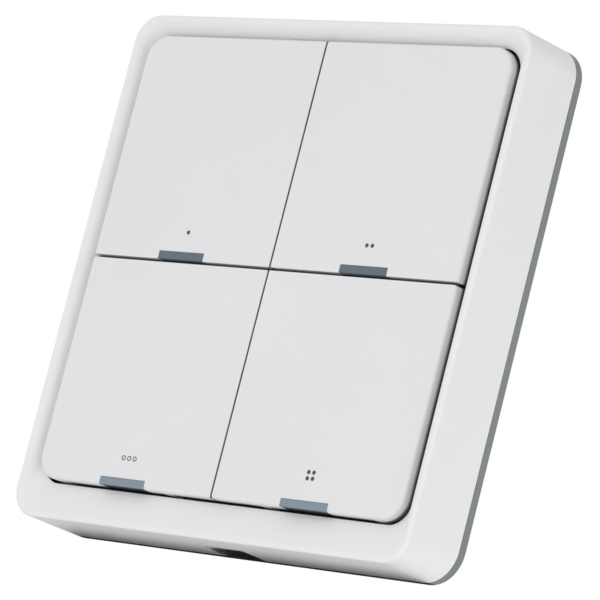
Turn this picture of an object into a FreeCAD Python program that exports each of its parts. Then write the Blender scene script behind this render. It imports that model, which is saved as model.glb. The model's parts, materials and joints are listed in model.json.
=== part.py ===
import FreeCAD, Part
import Sketcher
import math
import os
from FreeCAD import Vector, Placement, Rotation

# Four-key wi-fi wall switch. X runs right, Z up and the keys face -Y.
# The origin is the middle of the base plate's back, on the wall.
# Depths are counted from the wall towards the front, so depth d lies at y = -d.

doc = FreeCAD.newDocument("wall_switch")
sizes = doc.addObject("Spreadsheet::Sheet", "sizes")
places = doc.addObject("Spreadsheet::Sheet", "places")

size_rows = [
    ("key_width", 39.17, "one key, across"),
    ("upper_key_length", 37.74, "upper key, top to foot"),
    ("lower_key_length", 37.28, "lower key, top to foot"),
    ("key_gap_across", 0.36, "between left and right keys"),
    ("key_gap_down", 0.49, "between upper and lower keys"),
    ("border_gap", 0.45, "key to rim at the sides"),
    ("top_gap", 0.23, "key to rim at the top"),
    ("foot_gap", 0.43, "key to rim at the bottom"),
    ("side_band", 3.2, "rim beside the keys"),
    ("top_band", 3.4, "rim over the keys"),
    ("chin_band", 6.43, "rim under the keys"),
    ("corner_radius", 5.5, "outer corner of plate and housing"),
    ("key_corner_radius", 4.0, "outer corner of a key"),
    ("plate_thickness", 1.5, "base plate"),
    ("seam_gap", 0.1, "base plate to housing"),
    ("housing_wall", 1.8, "side walls of the housing, at the back"),
    ("housing_draft", 1.25, "lean of the side walls' outer faces, degrees"),
    ("ridge_radius", 0.5, "round on the housing's front outer edge"),
    ("dish_start", 1.0, "outer face to where the rim starts to fall"),
    ("dish_drop", 2.15, "how far the rim falls to the keys"),
    ("cell_to_plate", 1.1, "coin cell to base plate"),
    ("cell_radius", 12.25, "coin cell"),
    ("cell_thickness", 3.0, "coin cell"),
    ("cell_drop", 20.8, "housing's top wall to the middle of the cells"),
    ("contact_thickness", 0.3, "minus contact between cell and board"),
    ("contact_width", 4.0, "minus contact"),
    ("contact_length", 14.0, "minus contact"),
    ("board_thickness", 1.0, "circuit board"),
    ("board_to_frame", 1.1, "circuit board to key frame"),
    ("board_side_gap", 0.3, "circuit board to housing walls"),
    ("frame_thickness", 1.2, "plate of the key frame"),
    ("frame_side_gap", 0.15, "key frame and rear cover to housing walls"),
    ("rest_radius", 1.2, "rests between key frame and board"),
    ("collar_height", 0.9, "raised edge of the key frame"),
    ("collar_width", 0.9, "raised edge of the key frame"),
    ("key_floor_gap", 1.1, "key skirt to key frame"),
    ("key_depth", 2.5, "key face to the edge of its skirt"),
    ("key_wall", 1.2, "face and skirts of a key"),
    ("key_face_recess", 0.3, "key face behind the housing's ridge"),
    ("key_outer_round", 0.5, "round on a key's outer front edges"),
    ("key_inner_round", 0.12, "round on a key's inner front edges"),
    ("lug_corner_gap", 1.2, "hinge lug below the key's round corner"),
    ("hinge_below_skirt", 0.2, "hinge line behind the skirt's edge"),
    ("pin_radius", 0.6, "hinge pin"),
    ("pin_clearance", 0.06, "hinge pin in its ear"),
    ("pin_length", 2.2, "hinge pin"),
    ("lug_half", 1.6, "half the height of a hinge lug or ear"),
    ("lug_floor_gap", 0.15, "hinge lug to key frame"),
    ("ear_thickness", 1.4, "hinge ear on the key frame"),
    ("ear_side_gap", 0.5, "hinge ear to the key's skirt"),
    ("ear_top_gap", 0.2, "hinge ear to the key's face"),
    ("plunger_reach", 15.0, "hinge line to switch plunger"),
    ("plunger_radius", 1.5, "switch plunger"),
    ("plunger_clearance", 0.06, "plunger in its bore"),
    ("plunger_length", 1.4, "switch plunger"),
    ("plunger_proud", 0.65, "plunger over the switch body"),
    ("post_radius", 1.2, "key post that works the plunger"),
    ("post_gap", 0.05, "key post to plunger"),
    ("switch_side", 6.2, "switch body"),
    ("switch_height", 1.5, "switch body"),
    ("switch_floor", 0.2, "switch body under its plunger"),
    ("switch_sheet", 0.15, "metal cover of a switch"),
    ("switch_window_gap", 0.6, "key frame to switch"),
    ("hook_inner", 10.5, "inner stop hook from the middle"),
    ("hook_outer", 34.35, "outer stop hook from the middle"),
    ("hook_width", 2.0, "stop hook"),
    ("hook_nose", 0.6, "how far a hook's nose stands out"),
    ("hook_nose_depth", 0.5, "height of a hook's nose"),
    ("hook_slack", 0.1, "nose to its ledge at rest"),
    ("hook_ledge", 0.45, "ledge that the nose catches"),
    ("hook_window_gap", 0.3, "stop hook to its window"),
    ("guide_width", 10.0, "light window, across"),
    ("guide_height", 1.33, "light window, up the key's face"),
    ("guide_foot", 0.05, "light window over the key's foot"),
    ("guide_sink", 0.05, "light window under the key's face"),
    ("guide_fit", 0.04, "light guide in its slot"),
    ("guide_flange", 0.9, "light guide's flange under the key's face"),
    ("guide_flange_side", 1.2, "flange beyond the window, each side"),
    ("guide_flange_height", 3.0, "flange, up the key"),
    ("stem_width", 3.6, "light guide's stem"),
    ("stem_height", 1.4, "light guide's stem"),
    ("stem_gap", 1.2, "stem to lamp"),
    ("stem_window_gap", 0.5, "stem to its window in the key frame"),
    ("led_width", 1.6, "lamp"),
    ("led_depth", 0.8, "lamp, along the board"),
    ("led_height", 0.7, "lamp, off the board"),
    ("boss_radius", 2.8, "housing's screw posts"),
    ("boss_side", 2.4, "screw post to the housing wall"),
    ("boss_drop", 21.0, "housing's top and bottom to its screw posts"),
    ("boss_frame_gap", 0.15, "screw post to key frame"),
    ("pilot_radius", 0.87, "bore of a screw post"),
    ("pilot_depth", 1.9, "bore of a screw post"),
    ("screw_radius", 0.85, "case screw"),
    ("screw_bite", 1.6, "case screw in its post"),
    ("screw_head_radius", 1.6, "case screw"),
    ("screw_head_height", 0.8, "case screw"),
    ("screw_hole_gap", 0.2, "case screw in board and cover"),
    ("drive_slot", 0.4, "slot in a screw's head"),
    ("cover_to_plate", 0.6, "rear cover to base plate"),
    ("cover_thickness", 0.9, "rear cover"),
    ("cover_sink", 1.0, "screw heads in the rear cover"),
    ("cover_boss_radius", 2.2, "rear cover's screw posts"),
    ("cover_cell_gap", 0.9, "cell to its opening in the rear cover"),
    ("holder_wall", 1.2, "ring that holds a cell"),
    ("holder_gap", 0.15, "cell in its ring"),
    ("holder_cover_gap", 0.3, "ring to rear cover"),
    ("clip_width", 5.0, "plus clip"),
    ("clip_sheet", 0.3, "plus clip"),
    ("clip_reach", 3.5, "plus clip over the cell"),
    ("clip_slot_gap", 0.5, "plus clip in the ring's slot"),
    ("arm_width", 10.0, "clip arm of the base plate"),
    ("arm_thickness", 1.5, "clip arm"),
    ("arm_height", 3.5, "clip arm"),
    ("arm_spread", 24.0, "clip arm from the middle"),
    ("arm_gap", 0.15, "clip arm to the housing wall"),
    ("arm_cover_gap", 0.4, "clip arm to the rear cover"),
    ("tape_width", 64.0, "adhesive pad in the plate's back"),
    ("tape_length", 16.0, "adhesive pad"),
    ("tape_thickness", 0.5, "adhesive pad"),
    ("tape_drop", 19.0, "plate's top and bottom to its adhesive pads"),
    ("tape_gap", 0.3, "adhesive pad to the edge of its recess"),
    ("tape_corner", 2.0, "corner of a pad's recess"),
    ("slot_spacing", 60.0, "wall screws, middle to middle"),
    ("slot_width", 4.2, "wall screw slot"),
    ("slot_length", 8.0, "wall screw slot"),
    ("screw_window", 4.6, "radius of the rear cover's hole over a wall screw"),
    ("pry_back_width", 9.0, "pry notch at the housing's back edge"),
    ("pry_front_width", 8.6, "pry notch at its front"),
    ("pry_depth", 5.6, "pry notch, back to front"),
    ("pry_cover_depth", 2.3, "notch in the rear cover behind it"),
    ("radio_width", 18.0, "radio board"),
    ("radio_length", 24.0, "radio board"),
    ("radio_thickness", 0.8, "radio board"),
    ("radio_side", 17.0, "middle of the radio, left of the origin"),
    ("radio_lift", 19.2, "housing's bottom wall to the middle of the radio"),
    ("shield_margin", 1.0, "radio shield inside the radio board"),
    ("shield_length", 16.0, "radio shield"),
    ("shield_height", 1.7, "radio shield"),
    ("chip_side", 7.0, "controller chip"),
    ("chip_height", 0.9, "controller chip"),
    ("chip_across", 12.0, "controller chip from the middle"),
    ("chip_lift", 25.2, "housing's bottom wall to the controller chip"),
    ("coil_radius", 2.9, "power inductor"),
    ("coil_height", 2.2, "power inductor"),
    ("coil_across", 25.0, "power inductor from the middle"),
    ("coil_lift", 19.2, "housing's bottom wall to the power inductor"),
    ("crystal_width", 3.2, "crystal"),
    ("crystal_length", 2.5, "crystal"),
    ("crystal_height", 0.8, "crystal"),
    ("crystal_gap", 2.5, "crystal below the controller chip"),
    ("capacitor_length", 2.0, "chip capacitor"),
    ("capacitor_width", 1.25, "chip capacitor"),
    ("capacitor_height", 1.0, "chip capacitor"),
    ("capacitor_pitch", 3.0, "chip capacitors, middle to middle"),
]
for row, (alias, number, note) in enumerate(size_rows, start=1):
    sizes.set("A%d" % row, alias)
    sizes.set("B%d" % row, str(number))
    sizes.set("C%d" % row, note)
    sizes.setAlias("B%d" % row, alias)
doc.recompute()

# Places that follow from the sizes. The names without "depth" lie in X or Z.
place_rows = [
    ("half_width", "sizes.key_width + sizes.key_gap_across / 2 + sizes.border_gap + sizes.side_band"),
    ("half_height", "(sizes.upper_key_length + sizes.lower_key_length + sizes.key_gap_down"
                    " + sizes.top_gap + sizes.foot_gap + sizes.top_band + sizes.chin_band) / 2"),
    ("key_centre", "(sizes.key_width + sizes.key_gap_across) / 2"),
    ("upper_top", "half_height - sizes.top_band - sizes.top_gap"),
    ("upper_foot", "upper_top - sizes.upper_key_length"),
    ("lower_top", "upper_foot - sizes.key_gap_down"),
    ("lower_foot", "lower_top - sizes.lower_key_length"),
    ("wall_x", "half_width - sizes.housing_wall"),
    ("wall_z", "half_height - sizes.housing_wall"),
    ("wall_round", "sizes.corner_radius - sizes.housing_wall"),
    ("open_x", "key_centre + sizes.key_width / 2 + sizes.border_gap"),
    ("open_top", "upper_top + sizes.top_gap"),
    ("open_foot", "lower_foot - sizes.foot_gap"),
    ("open_round", "sizes.key_corner_radius + sizes.border_gap"),
    ("boss_x", "wall_x - sizes.boss_side"),
    ("boss_z", "half_height - sizes.boss_drop"),
    ("tape_z", "half_height - sizes.tape_drop"),
    ("cell_z", "wall_z - sizes.cell_drop"),
    ("radio_z", "sizes.radio_lift - wall_z"),
    ("chip_z", "sizes.chip_lift - wall_z"),
    ("coil_z", "sizes.coil_lift - wall_z"),
    ("hinge_drop", "sizes.key_corner_radius + sizes.lug_corner_gap + sizes.lug_half"),
    ("slot_x", "sizes.slot_spacing / 2"),
    ("seam_depth", "sizes.plate_thickness + sizes.seam_gap"),
    ("cover_back_depth", "sizes.plate_thickness + sizes.cover_to_plate"),
    ("cover_front_depth", "cover_back_depth + sizes.cover_thickness"),
    ("cell_back_depth", "sizes.plate_thickness + sizes.cell_to_plate"),
    ("cell_front_depth", "cell_back_depth + sizes.cell_thickness"),
    ("board_back_depth", "cell_front_depth + sizes.contact_thickness"),
    ("board_front_depth", "board_back_depth + sizes.board_thickness"),
    ("frame_back_depth", "board_front_depth + sizes.board_to_frame"),
    ("frame_front_depth", "frame_back_depth + sizes.frame_thickness"),
    ("rim_back_depth", "frame_front_depth + sizes.collar_height"),
    ("skirt_depth", "frame_front_depth + sizes.key_floor_gap"),
    ("key_face_depth", "skirt_depth + sizes.key_depth"),
    ("key_under_depth", "key_face_depth - sizes.key_wall"),
    ("ridge_depth", "key_face_depth + sizes.key_face_recess"),
    ("dish_depth", "ridge_depth - sizes.dish_drop"),
    ("hinge_depth", "skirt_depth - sizes.hinge_below_skirt"),
    ("switch_front_depth", "board_front_depth + sizes.switch_height"),
    ("plunger_front_depth", "switch_front_depth + sizes.plunger_proud"),
    ("ledge_depth", "frame_front_depth - sizes.hook_ledge"),
    ("led_front_depth", "board_front_depth + sizes.led_height"),
]
for row, (alias, formula) in enumerate(place_rows, start=1):
    places.set("A%d" % row, alias)
    places.set("B%d" % row, "=" + formula)
    places.setAlias("B%d" % row, alias)
doc.recompute()


def amount(formula):
    """The number that a formula over the two sheets gives."""
    return float(places.evalExpression(formula))


def origin_plane(body, role):
    for feature in body.Origin.OriginFeatures:
        if feature.Role == role:
            return feature


def new_body(name):
    body = doc.addObject("PartDesign::Body", name)
    body.Label = name
    return body


def fix(sketch, kind, where, formula):
    """One dimension of a sketch, bound to a formula."""
    index = sketch.addConstraint(Sketcher.Constraint(kind, *where, amount(formula)))
    sketch.setExpression("Constraints[%d]" % index, formula)


def draw_line(sketch, start, end):
    return sketch.addGeometry(Part.LineSegment(Vector(*start, 0), Vector(*end, 0)), False)


def draw_polygon(sketch, corners):
    """A closed outline through corners, each a pair of formulas."""
    points = [(amount(x), amount(z)) for x, z in corners]
    count = len(points)
    lines = [draw_line(sketch, points[i], points[(i + 1) % count]) for i in range(count)]
    for i in range(count):
        following = lines[(i + 1) % count]
        sketch.addConstraint(Sketcher.Constraint("Coincident", lines[i], 2, following, 1))
        fix(sketch, "DistanceX", (-1, 1, lines[i], 1), corners[i][0])
        fix(sketch, "DistanceY", (-1, 1, lines[i], 1), corners[i][1])


def draw_rectangle(sketch, left, right, low, high):
    draw_polygon(sketch, [(left, low), (right, low), (right, high), (left, high)])


def draw_circle(sketch, across, up, radius):
    centre = Vector(amount(across), amount(up), 0)
    circle = sketch.addGeometry(Part.Circle(centre, Vector(0, 0, 1), amount(radius)), False)
    fix(sketch, "DistanceX", (-1, 1, circle, 3), across)
    fix(sketch, "DistanceY", (-1, 1, circle, 3), up)
    fix(sketch, "Radius", (circle,), radius)


def draw_rounded(sketch, left, right, low, high, radius):
    """A rectangle with four equal round corners."""
    x0, x1, z0, z1, r = [amount(text) for text in (left, right, low, high, radius)]
    sides = [draw_line(sketch, (x0 + r, z0), (x1 - r, z0)),
             draw_line(sketch, (x1, z0 + r), (x1, z1 - r)),
             draw_line(sketch, (x1 - r, z1), (x0 + r, z1)),
             draw_line(sketch, (x0, z1 - r), (x0, z0 + r))]
    middles = [(x1 - r, z0 + r), (x1 - r, z1 - r), (x0 + r, z1 - r), (x0 + r, z0 + r)]
    quarter = math.pi / 2
    arcs = []
    for i, (x, z) in enumerate(middles):
        circle = Part.Circle(Vector(x, z, 0), Vector(0, 0, 1), r)
        arcs.append(sketch.addGeometry(Part.ArcOfCircle(circle, (i - 1) * quarter, i * quarter), False))
    for i in range(4):
        sketch.addConstraint(Sketcher.Constraint("Tangent", sides[i], 2, arcs[i], 1))
        sketch.addConstraint(Sketcher.Constraint("Tangent", arcs[i], 2, sides[(i + 1) % 4], 1))
        sketch.addConstraint(Sketcher.Constraint("Vertical" if i % 2 else "Horizontal", sides[i]))
        if i:
            sketch.addConstraint(Sketcher.Constraint("Equal", arcs[0], arcs[i]))
    fix(sketch, "Radius", (arcs[0],), radius)
    fix(sketch, "DistanceY", (-1, 1, sides[0], 1), low)
    fix(sketch, "DistanceX", (-1, 1, sides[1], 1), right)
    fix(sketch, "DistanceY", (-1, 1, sides[2], 1), high)
    fix(sketch, "DistanceX", (-1, 1, sides[3], 1), left)


def draw_slot(sketch, across, up, length, width):
    """A slot along X with round ends; length is end to end."""
    x, z, reach, r = amount(across), amount(up), amount(length) / 2, amount(width) / 2
    quarter = math.pi / 2
    right = Part.Circle(Vector(x + reach - r, z, 0), Vector(0, 0, 1), r)
    left = Part.Circle(Vector(x - reach + r, z, 0), Vector(0, 0, 1), r)
    ends = [sketch.addGeometry(Part.ArcOfCircle(right, -quarter, quarter), False),
            sketch.addGeometry(Part.ArcOfCircle(left, quarter, 3 * quarter), False)]
    sides = [draw_line(sketch, (x + reach - r, z + r), (x - reach + r, z + r)),
             draw_line(sketch, (x - reach + r, z - r), (x + reach - r, z - r))]
    for i in range(2):
        sketch.addConstraint(Sketcher.Constraint("Tangent", ends[i], 2, sides[i], 1))
        sketch.addConstraint(Sketcher.Constraint("Tangent", sides[i], 2, ends[1 - i], 1))
    sketch.addConstraint(Sketcher.Constraint("Equal", ends[0], ends[1]))
    fix(sketch, "Radius", (ends[0],), "(%s) / 2" % width)
    for end, sign in ((ends[0], "+"), (ends[1], "-")):
        fix(sketch, "DistanceX", (-1, 1, end, 3),
            "(%s) %s ((%s) / 2 - (%s) / 2)" % (across, sign, length, width))
        fix(sketch, "DistanceY", (-1, 1, end, 3), up)


draw = {"rectangle": draw_rectangle, "rounded": draw_rounded, "circle": draw_circle,
        "slot": draw_slot, "polygon": lambda sketch, *corners: draw_polygon(sketch, corners)}


def new_sketch(body, depth, outlines, role="XZ_Plane"):
    """A sketch at a depth from the wall, or at a height with the XY plane."""
    sketch = body.newObject("Sketcher::SketchObject", body.Name + "_sketch")
    sketch.AttachmentSupport = [(origin_plane(body, role), "")]
    sketch.MapMode = "FlatFace"
    sketch.setExpression("AttachmentOffset.Base.z", depth)
    for kind, *formulas in outlines:
        draw[kind](sketch, *formulas)
    doc.recompute()
    return sketch


def pad(body, depth, thickness, outlines):
    """Adds material from a depth forwards, away from the wall."""
    feature = body.newObject("PartDesign::Pad", body.Name + "_pad")
    feature.Profile = new_sketch(body, depth, outlines)
    feature.setExpression("Length", thickness)
    doc.recompute()
    return feature


def cut(body, depth, thickness, outlines, role="XZ_Plane"):
    """Takes material away from a depth forwards, or upwards from a height."""
    before = body.Shape.Volume
    feature = body.newObject("PartDesign::Pocket", body.Name + "_cut")
    feature.Profile = new_sketch(body, depth, outlines, role)
    feature.Reversed = True
    feature.setExpression("Length", thickness)
    doc.recompute()
    if not body.Shape.Volume < before:
        raise RuntimeError("a cut in %s took nothing away" % body.Label)
    return feature


def edges_where(shape, test):
    """Names of the edges whose every point passes a test."""
    found = []
    for i, edge in enumerate(shape.Edges, start=1):
        if all(test(point) for point in edge.discretize(3)):
            found.append("Edge%d" % i)
    return found


def round_edges(body, radius, test):
    base = body.Tip
    feature = body.newObject("PartDesign::Fillet", body.Name + "_round")
    feature.Base = (base, edges_where(base.Shape, test))
    feature.setExpression("Radius", radius)
    doc.recompute()
    return feature


def block(name, x0, x1, d0, d1, z0, z1):
    """A box between two places in X, two depths and two heights."""
    box = doc.addObject("Part::Box", name)
    box.setExpression("Length", "(%s) - (%s)" % (x1, x0))
    box.setExpression("Width", "(%s) - (%s)" % (d1, d0))
    box.setExpression("Height", "(%s) - (%s)" % (z1, z0))
    box.setExpression("Placement.Base.x", x0)
    box.setExpression("Placement.Base.y", "-(%s)" % d1)
    box.setExpression("Placement.Base.z", z0)
    return box


def disc(name, x, z, radius, d0, d1):
    """A cylinder whose axis points forwards, between two depths."""
    round_bar = doc.addObject("Part::Cylinder", name)
    round_bar.Placement = Placement(Vector(0, 0, 0), Rotation(Vector(1, 0, 0), 90))
    round_bar.setExpression("Radius", radius)
    round_bar.setExpression("Height", "(%s) - (%s)" % (d1, d0))
    round_bar.setExpression("Placement.Base.x", x)
    round_bar.setExpression("Placement.Base.y", "-(%s)" % d0)
    round_bar.setExpression("Placement.Base.z", z)
    return round_bar


def cross_bar(name, x0, x1, depth, z, radius):
    """A cylinder along X."""
    bar = doc.addObject("Part::Cylinder", name)
    bar.Placement = Placement(Vector(0, 0, 0), Rotation(Vector(0, 1, 0), 90))
    bar.setExpression("Radius", radius)
    bar.setExpression("Height", "(%s) - (%s)" % (x1, x0))
    bar.setExpression("Placement.Base.x", x0)
    bar.setExpression("Placement.Base.y", "-(%s)" % depth)
    bar.setExpression("Placement.Base.z", z)
    return bar


def joined(name, shapes):
    fusion = doc.addObject("Part::MultiFuse", name)
    fusion.Shapes = shapes
    return fusion


def without(name, base, tools):
    result = doc.addObject("Part::Cut", name)
    result.Base = base
    result.Tool = tools[0] if len(tools) == 1 else joined(name + "_tools", tools)
    return result


parts = []


def keep(feature, label):
    """Takes a finished sub-part into the assembly under its label."""
    feature.Label = label
    parts.append(feature)


def both_ways(formula):
    """A place and its mirror image across the middle."""
    return [formula, "-(%s)" % formula]


# Base plate: a thin plate with two screw slots and four clip arms.
plate = new_body("base_plate")
pad(plate, "0", "sizes.plate_thickness",
    [("rounded", "-places.half_width", "places.half_width",
      "-places.half_height", "places.half_height", "sizes.corner_radius")])
arm_outlines = []
arm_out = "(places.wall_z - sizes.arm_gap)"
arm_in = "(places.wall_z - sizes.arm_gap - sizes.arm_thickness)"
for middle in both_ways("sizes.arm_spread"):
    sides = (middle + " - sizes.arm_width / 2", middle + " + sizes.arm_width / 2")
    arm_outlines.append(("rectangle", *sides, arm_in, arm_out))
    arm_outlines.append(("rectangle", *sides, "-" + arm_out, "-" + arm_in))
pad(plate, "sizes.plate_thickness", "sizes.arm_height", arm_outlines)
cut(plate, "0", "sizes.plate_thickness",
    [("slot", middle, "0", "sizes.slot_length", "sizes.slot_width")
     for middle in both_ways("places.slot_x")])
cut(plate, "0", "sizes.tape_thickness",
    [("rounded", "-sizes.tape_width / 2 - sizes.tape_gap", "sizes.tape_width / 2 + sizes.tape_gap",
      middle + " - sizes.tape_length / 2 - sizes.tape_gap",
      middle + " + sizes.tape_length / 2 + sizes.tape_gap", "sizes.tape_corner")
     for middle in both_ways("places.tape_z")])
keep(plate, "base_plate")

# Adhesive pads: flush with the plate's back, one above and one below the slots.
for n, middle in enumerate(both_ways("places.tape_z"), start=1):
    tape = new_body("tape_%d" % n)
    pad(tape, "0", "sizes.tape_thickness",
        [("rounded", "-sizes.tape_width / 2", "sizes.tape_width / 2",
          middle + " - sizes.tape_length / 2", middle + " + sizes.tape_length / 2",
          "sizes.tape_corner - sizes.tape_gap")])
    keep(tape, "adhesive_pad_%d" % n)

# Housing: a deep frame, hollow from the back, with a dished rim round the keys.
housing = new_body("housing")
block_out = pad(housing, "places.seam_depth", "places.ridge_depth - places.seam_depth",
                [("rounded", "-places.half_width", "places.half_width",
                  "-places.half_height", "places.half_height", "sizes.corner_radius")])
block_out.setExpression("TaperAngle", "-sizes.housing_draft")
doc.recompute()
ridge_y = -amount("places.ridge_depth")
round_edges(housing, "sizes.ridge_radius", lambda p: abs(p.y - ridge_y) < 0.001)
cut(housing, "places.seam_depth", "places.rim_back_depth - places.seam_depth",
    [("rounded", "-places.wall_x", "places.wall_x", "-places.wall_z", "places.wall_z",
      "places.wall_round")])
cut(housing, "places.seam_depth", "places.ridge_depth - places.seam_depth",
    [("rounded", "-places.open_x", "places.open_x", "places.open_foot", "places.open_top",
      "places.open_round")])
dish = housing.newObject("PartDesign::SubtractiveLoft", "housing_dish")
dish.Profile = new_sketch(housing, "places.ridge_depth",
                          [("rounded", "-(places.half_width - sizes.dish_start)",
                            "places.half_width - sizes.dish_start",
                            "-(places.half_height - sizes.dish_start)",
                            "places.half_height - sizes.dish_start",
                            "sizes.corner_radius - sizes.dish_start")])
dish.Sections = [new_sketch(housing, "places.dish_depth",
                            [("rounded", "-places.open_x", "places.open_x",
                              "places.open_foot", "places.open_top", "places.open_round")])]
dish.Ruled = True
doc.recompute()
pad(housing, "places.board_front_depth", "places.frame_front_depth - places.board_front_depth",
    [("circle", x, z, "sizes.boss_radius")
     for x in both_ways("places.boss_x") for z in both_ways("places.boss_z")])
cut(housing, "places.board_front_depth", "sizes.pilot_depth",
    [("circle", x, z, "sizes.pilot_radius")
     for x in both_ways("places.boss_x") for z in both_ways("places.boss_z")])
pry_back = "-(places.seam_depth)"
pry_front = "-(places.seam_depth + sizes.pry_depth)"
cut(housing, "-places.half_height", "sizes.housing_wall",
    [("polygon", ("-sizes.pry_back_width / 2", pry_back), ("sizes.pry_back_width / 2", pry_back),
      ("sizes.pry_front_width / 2", pry_front), ("-sizes.pry_front_width / 2", pry_front))],
    "XY_Plane")
keep(housing, "housing")

# What the four keys have in common, worked out once for each.
keys = []
for number, side, row in ((1, "-", "upper"), (2, "", "upper"), (3, "-", "lower"), (4, "", "lower")):
    top, foot = "places.%s_top" % row, "places.%s_foot" % row
    keys.append({
        "number": number,
        "side": side,
        "centre": "(%splaces.key_centre)" % side,
        "top": top,
        "foot": foot,
        "hinge": "(%s - places.hinge_drop)" % top,
        "switch": "(%s - places.hinge_drop - sizes.plunger_reach)" % top,
        "lamp": "(%s + sizes.guide_foot + sizes.key_wall + sizes.stem_height / 2"
                " + sizes.guide_fit)" % foot,
        "hooks": ["(%ssizes.hook_inner)" % side, "(%ssizes.hook_outer)" % side],
    })


def ear_sides(key, sign):
    """Near and far side of one hinge ear, from the skirt inwards."""
    skirt = "%s %s (sizes.key_width / 2 - sizes.key_wall - sizes.ear_side_gap" % (key["centre"], sign)
    faces = [skirt + " - sizes.ear_thickness)", skirt + ")"]
    return faces if sign == "+" else faces[::-1]


def window_outlines():
    """Openings in the key frame: switches, stems, hooks and screw posts."""
    outlines = []
    reach = "(sizes.switch_side / 2 + sizes.switch_window_gap)"
    stem = "(sizes.stem_width / 2 + sizes.stem_window_gap)"
    stem_up = "(sizes.stem_height / 2 + sizes.stem_window_gap)"
    hook = "(sizes.hook_width / 2 + sizes.hook_window_gap)"
    for key in keys:
        x, z = key["centre"], key["switch"]
        outlines.append(("rectangle", x + " - " + reach, x + " + " + reach,
                         z + " - " + reach, z + " + " + reach))
        z = key["lamp"]
        outlines.append(("rectangle", x + " - " + stem, x + " + " + stem,
                         z + " - " + stem_up, z + " + " + stem_up))
        for x in key["hooks"]:
            outlines.append(("rectangle", x + " - " + hook, x + " + " + hook,
                             key["foot"] + " - sizes.hook_window_gap",
                             key["foot"] + " + sizes.key_wall + sizes.hook_window_gap / 2"))
    return outlines


# Key frame: a plate under the keys with a raised edge, hinge ears and windows.
frame_x = "(places.wall_x - sizes.frame_side_gap)"
frame_z = "(places.wall_z - sizes.frame_side_gap)"
frame_round = "(places.wall_round - sizes.frame_side_gap)"
frame = new_body("key_frame_plate")
pad(frame, "places.frame_back_depth", "sizes.frame_thickness + sizes.collar_height",
    [("rounded", "-" + frame_x, frame_x, "-" + frame_z, frame_z, frame_round)])
cut(frame, "places.frame_front_depth", "sizes.collar_height",
    [("rounded", "-(%s - sizes.collar_width)" % frame_x, "%s - sizes.collar_width" % frame_x,
      "-(%s - sizes.collar_width)" % frame_z, "%s - sizes.collar_width" % frame_z,
      "%s - sizes.collar_width" % frame_round)])
cut(frame, "places.frame_back_depth", "sizes.frame_thickness", window_outlines())
cut(frame, "places.frame_back_depth", "sizes.frame_thickness",
    [("circle", x, z, "sizes.boss_radius + sizes.boss_frame_gap")
     for x in both_ways("places.boss_x") for z in both_ways("places.boss_z")])
hook_reach = "(sizes.hook_width / 2 + sizes.hook_window_gap)"
cut(frame, "places.frame_back_depth", "sizes.frame_thickness - sizes.hook_ledge",
    [("rectangle", x + " - " + hook_reach, x + " + " + hook_reach,
      key["foot"] + " + sizes.key_wall",
      key["foot"] + " + sizes.key_wall + sizes.hook_nose + sizes.hook_window_gap")
     for key in keys for x in key["hooks"]])
ears = []
for key in keys:
    for sign in "+-":
        low, high = key["hinge"] + " - sizes.lug_half", key["hinge"] + " + sizes.lug_half"
        ears.append(("rectangle", *ear_sides(key, sign), low, high))
pad(frame, "places.frame_front_depth",
    "places.key_under_depth - sizes.ear_top_gap - places.frame_front_depth", ears)
pad(frame, "places.board_front_depth", "sizes.board_to_frame",
    [("circle", "0", z, "sizes.rest_radius")
     for z in ("places.upper_top - places.hinge_drop", "places.lower_foot + places.hinge_drop",
               "places.lower_top + sizes.key_gap_down / 2")])
ear_bores = [cross_bar("ear_bore_%d" % key["number"],
                       key["centre"] + " - sizes.key_width / 2 + sizes.key_wall",
                       key["centre"] + " + sizes.key_width / 2 - sizes.key_wall",
                       "places.hinge_depth", key["hinge"],
                       "sizes.pin_radius + sizes.pin_clearance") for key in keys]
keep(without("bored_key_frame", frame, ear_bores), "key_frame")


def key_shell(key):
    """A key's face and skirts, with the slot for its light guide."""
    shell = new_body("key_%d_shell" % key["number"])
    left = key["centre"] + " - sizes.key_width / 2"
    right = key["centre"] + " + sizes.key_width / 2"
    pad(shell, "places.skirt_depth", "sizes.key_depth",
        [("rectangle", left, right, key["foot"], key["top"])])
    upper = key["number"] < 3
    outer_x = amount(left if key["side"] else right)
    inner_x = amount(right if key["side"] else left)
    outer_z = amount(key["top"] if upper else key["foot"])
    inner_z = amount(key["foot"] if upper else key["top"])
    face_y = -amount("places.key_face_depth")

    def near(a, b):
        return abs(a - b) < 0.001

    round_edges(shell, "sizes.key_corner_radius",
                lambda p: near(p.x, outer_x) and near(p.z, outer_z))
    round_edges(shell, "sizes.key_outer_round",
                lambda p: near(p.y, face_y) and not near(p.x, inner_x) and not near(p.z, inner_z))
    round_edges(shell, "sizes.key_inner_round",
                lambda p: near(p.x, inner_x) and near(p.z, inner_z) or
                near(p.y, face_y) and (near(p.x, inner_x) or near(p.z, inner_z)))
    cut(shell, "places.skirt_depth", "sizes.key_depth - sizes.key_wall",
        [("rounded", left + " + sizes.key_wall", right + " - sizes.key_wall",
          key["foot"] + " + sizes.key_wall", key["top"] + " - sizes.key_wall",
          "sizes.key_corner_radius - sizes.key_wall")])
    cut(shell, "places.skirt_depth", "sizes.key_depth",
        [("rectangle", key["centre"] + " - sizes.guide_width / 2",
          key["centre"] + " + sizes.guide_width / 2", key["foot"] + " - sizes.key_wall",
          key["foot"] + " + sizes.guide_foot + sizes.guide_height")])
    return shell


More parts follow.
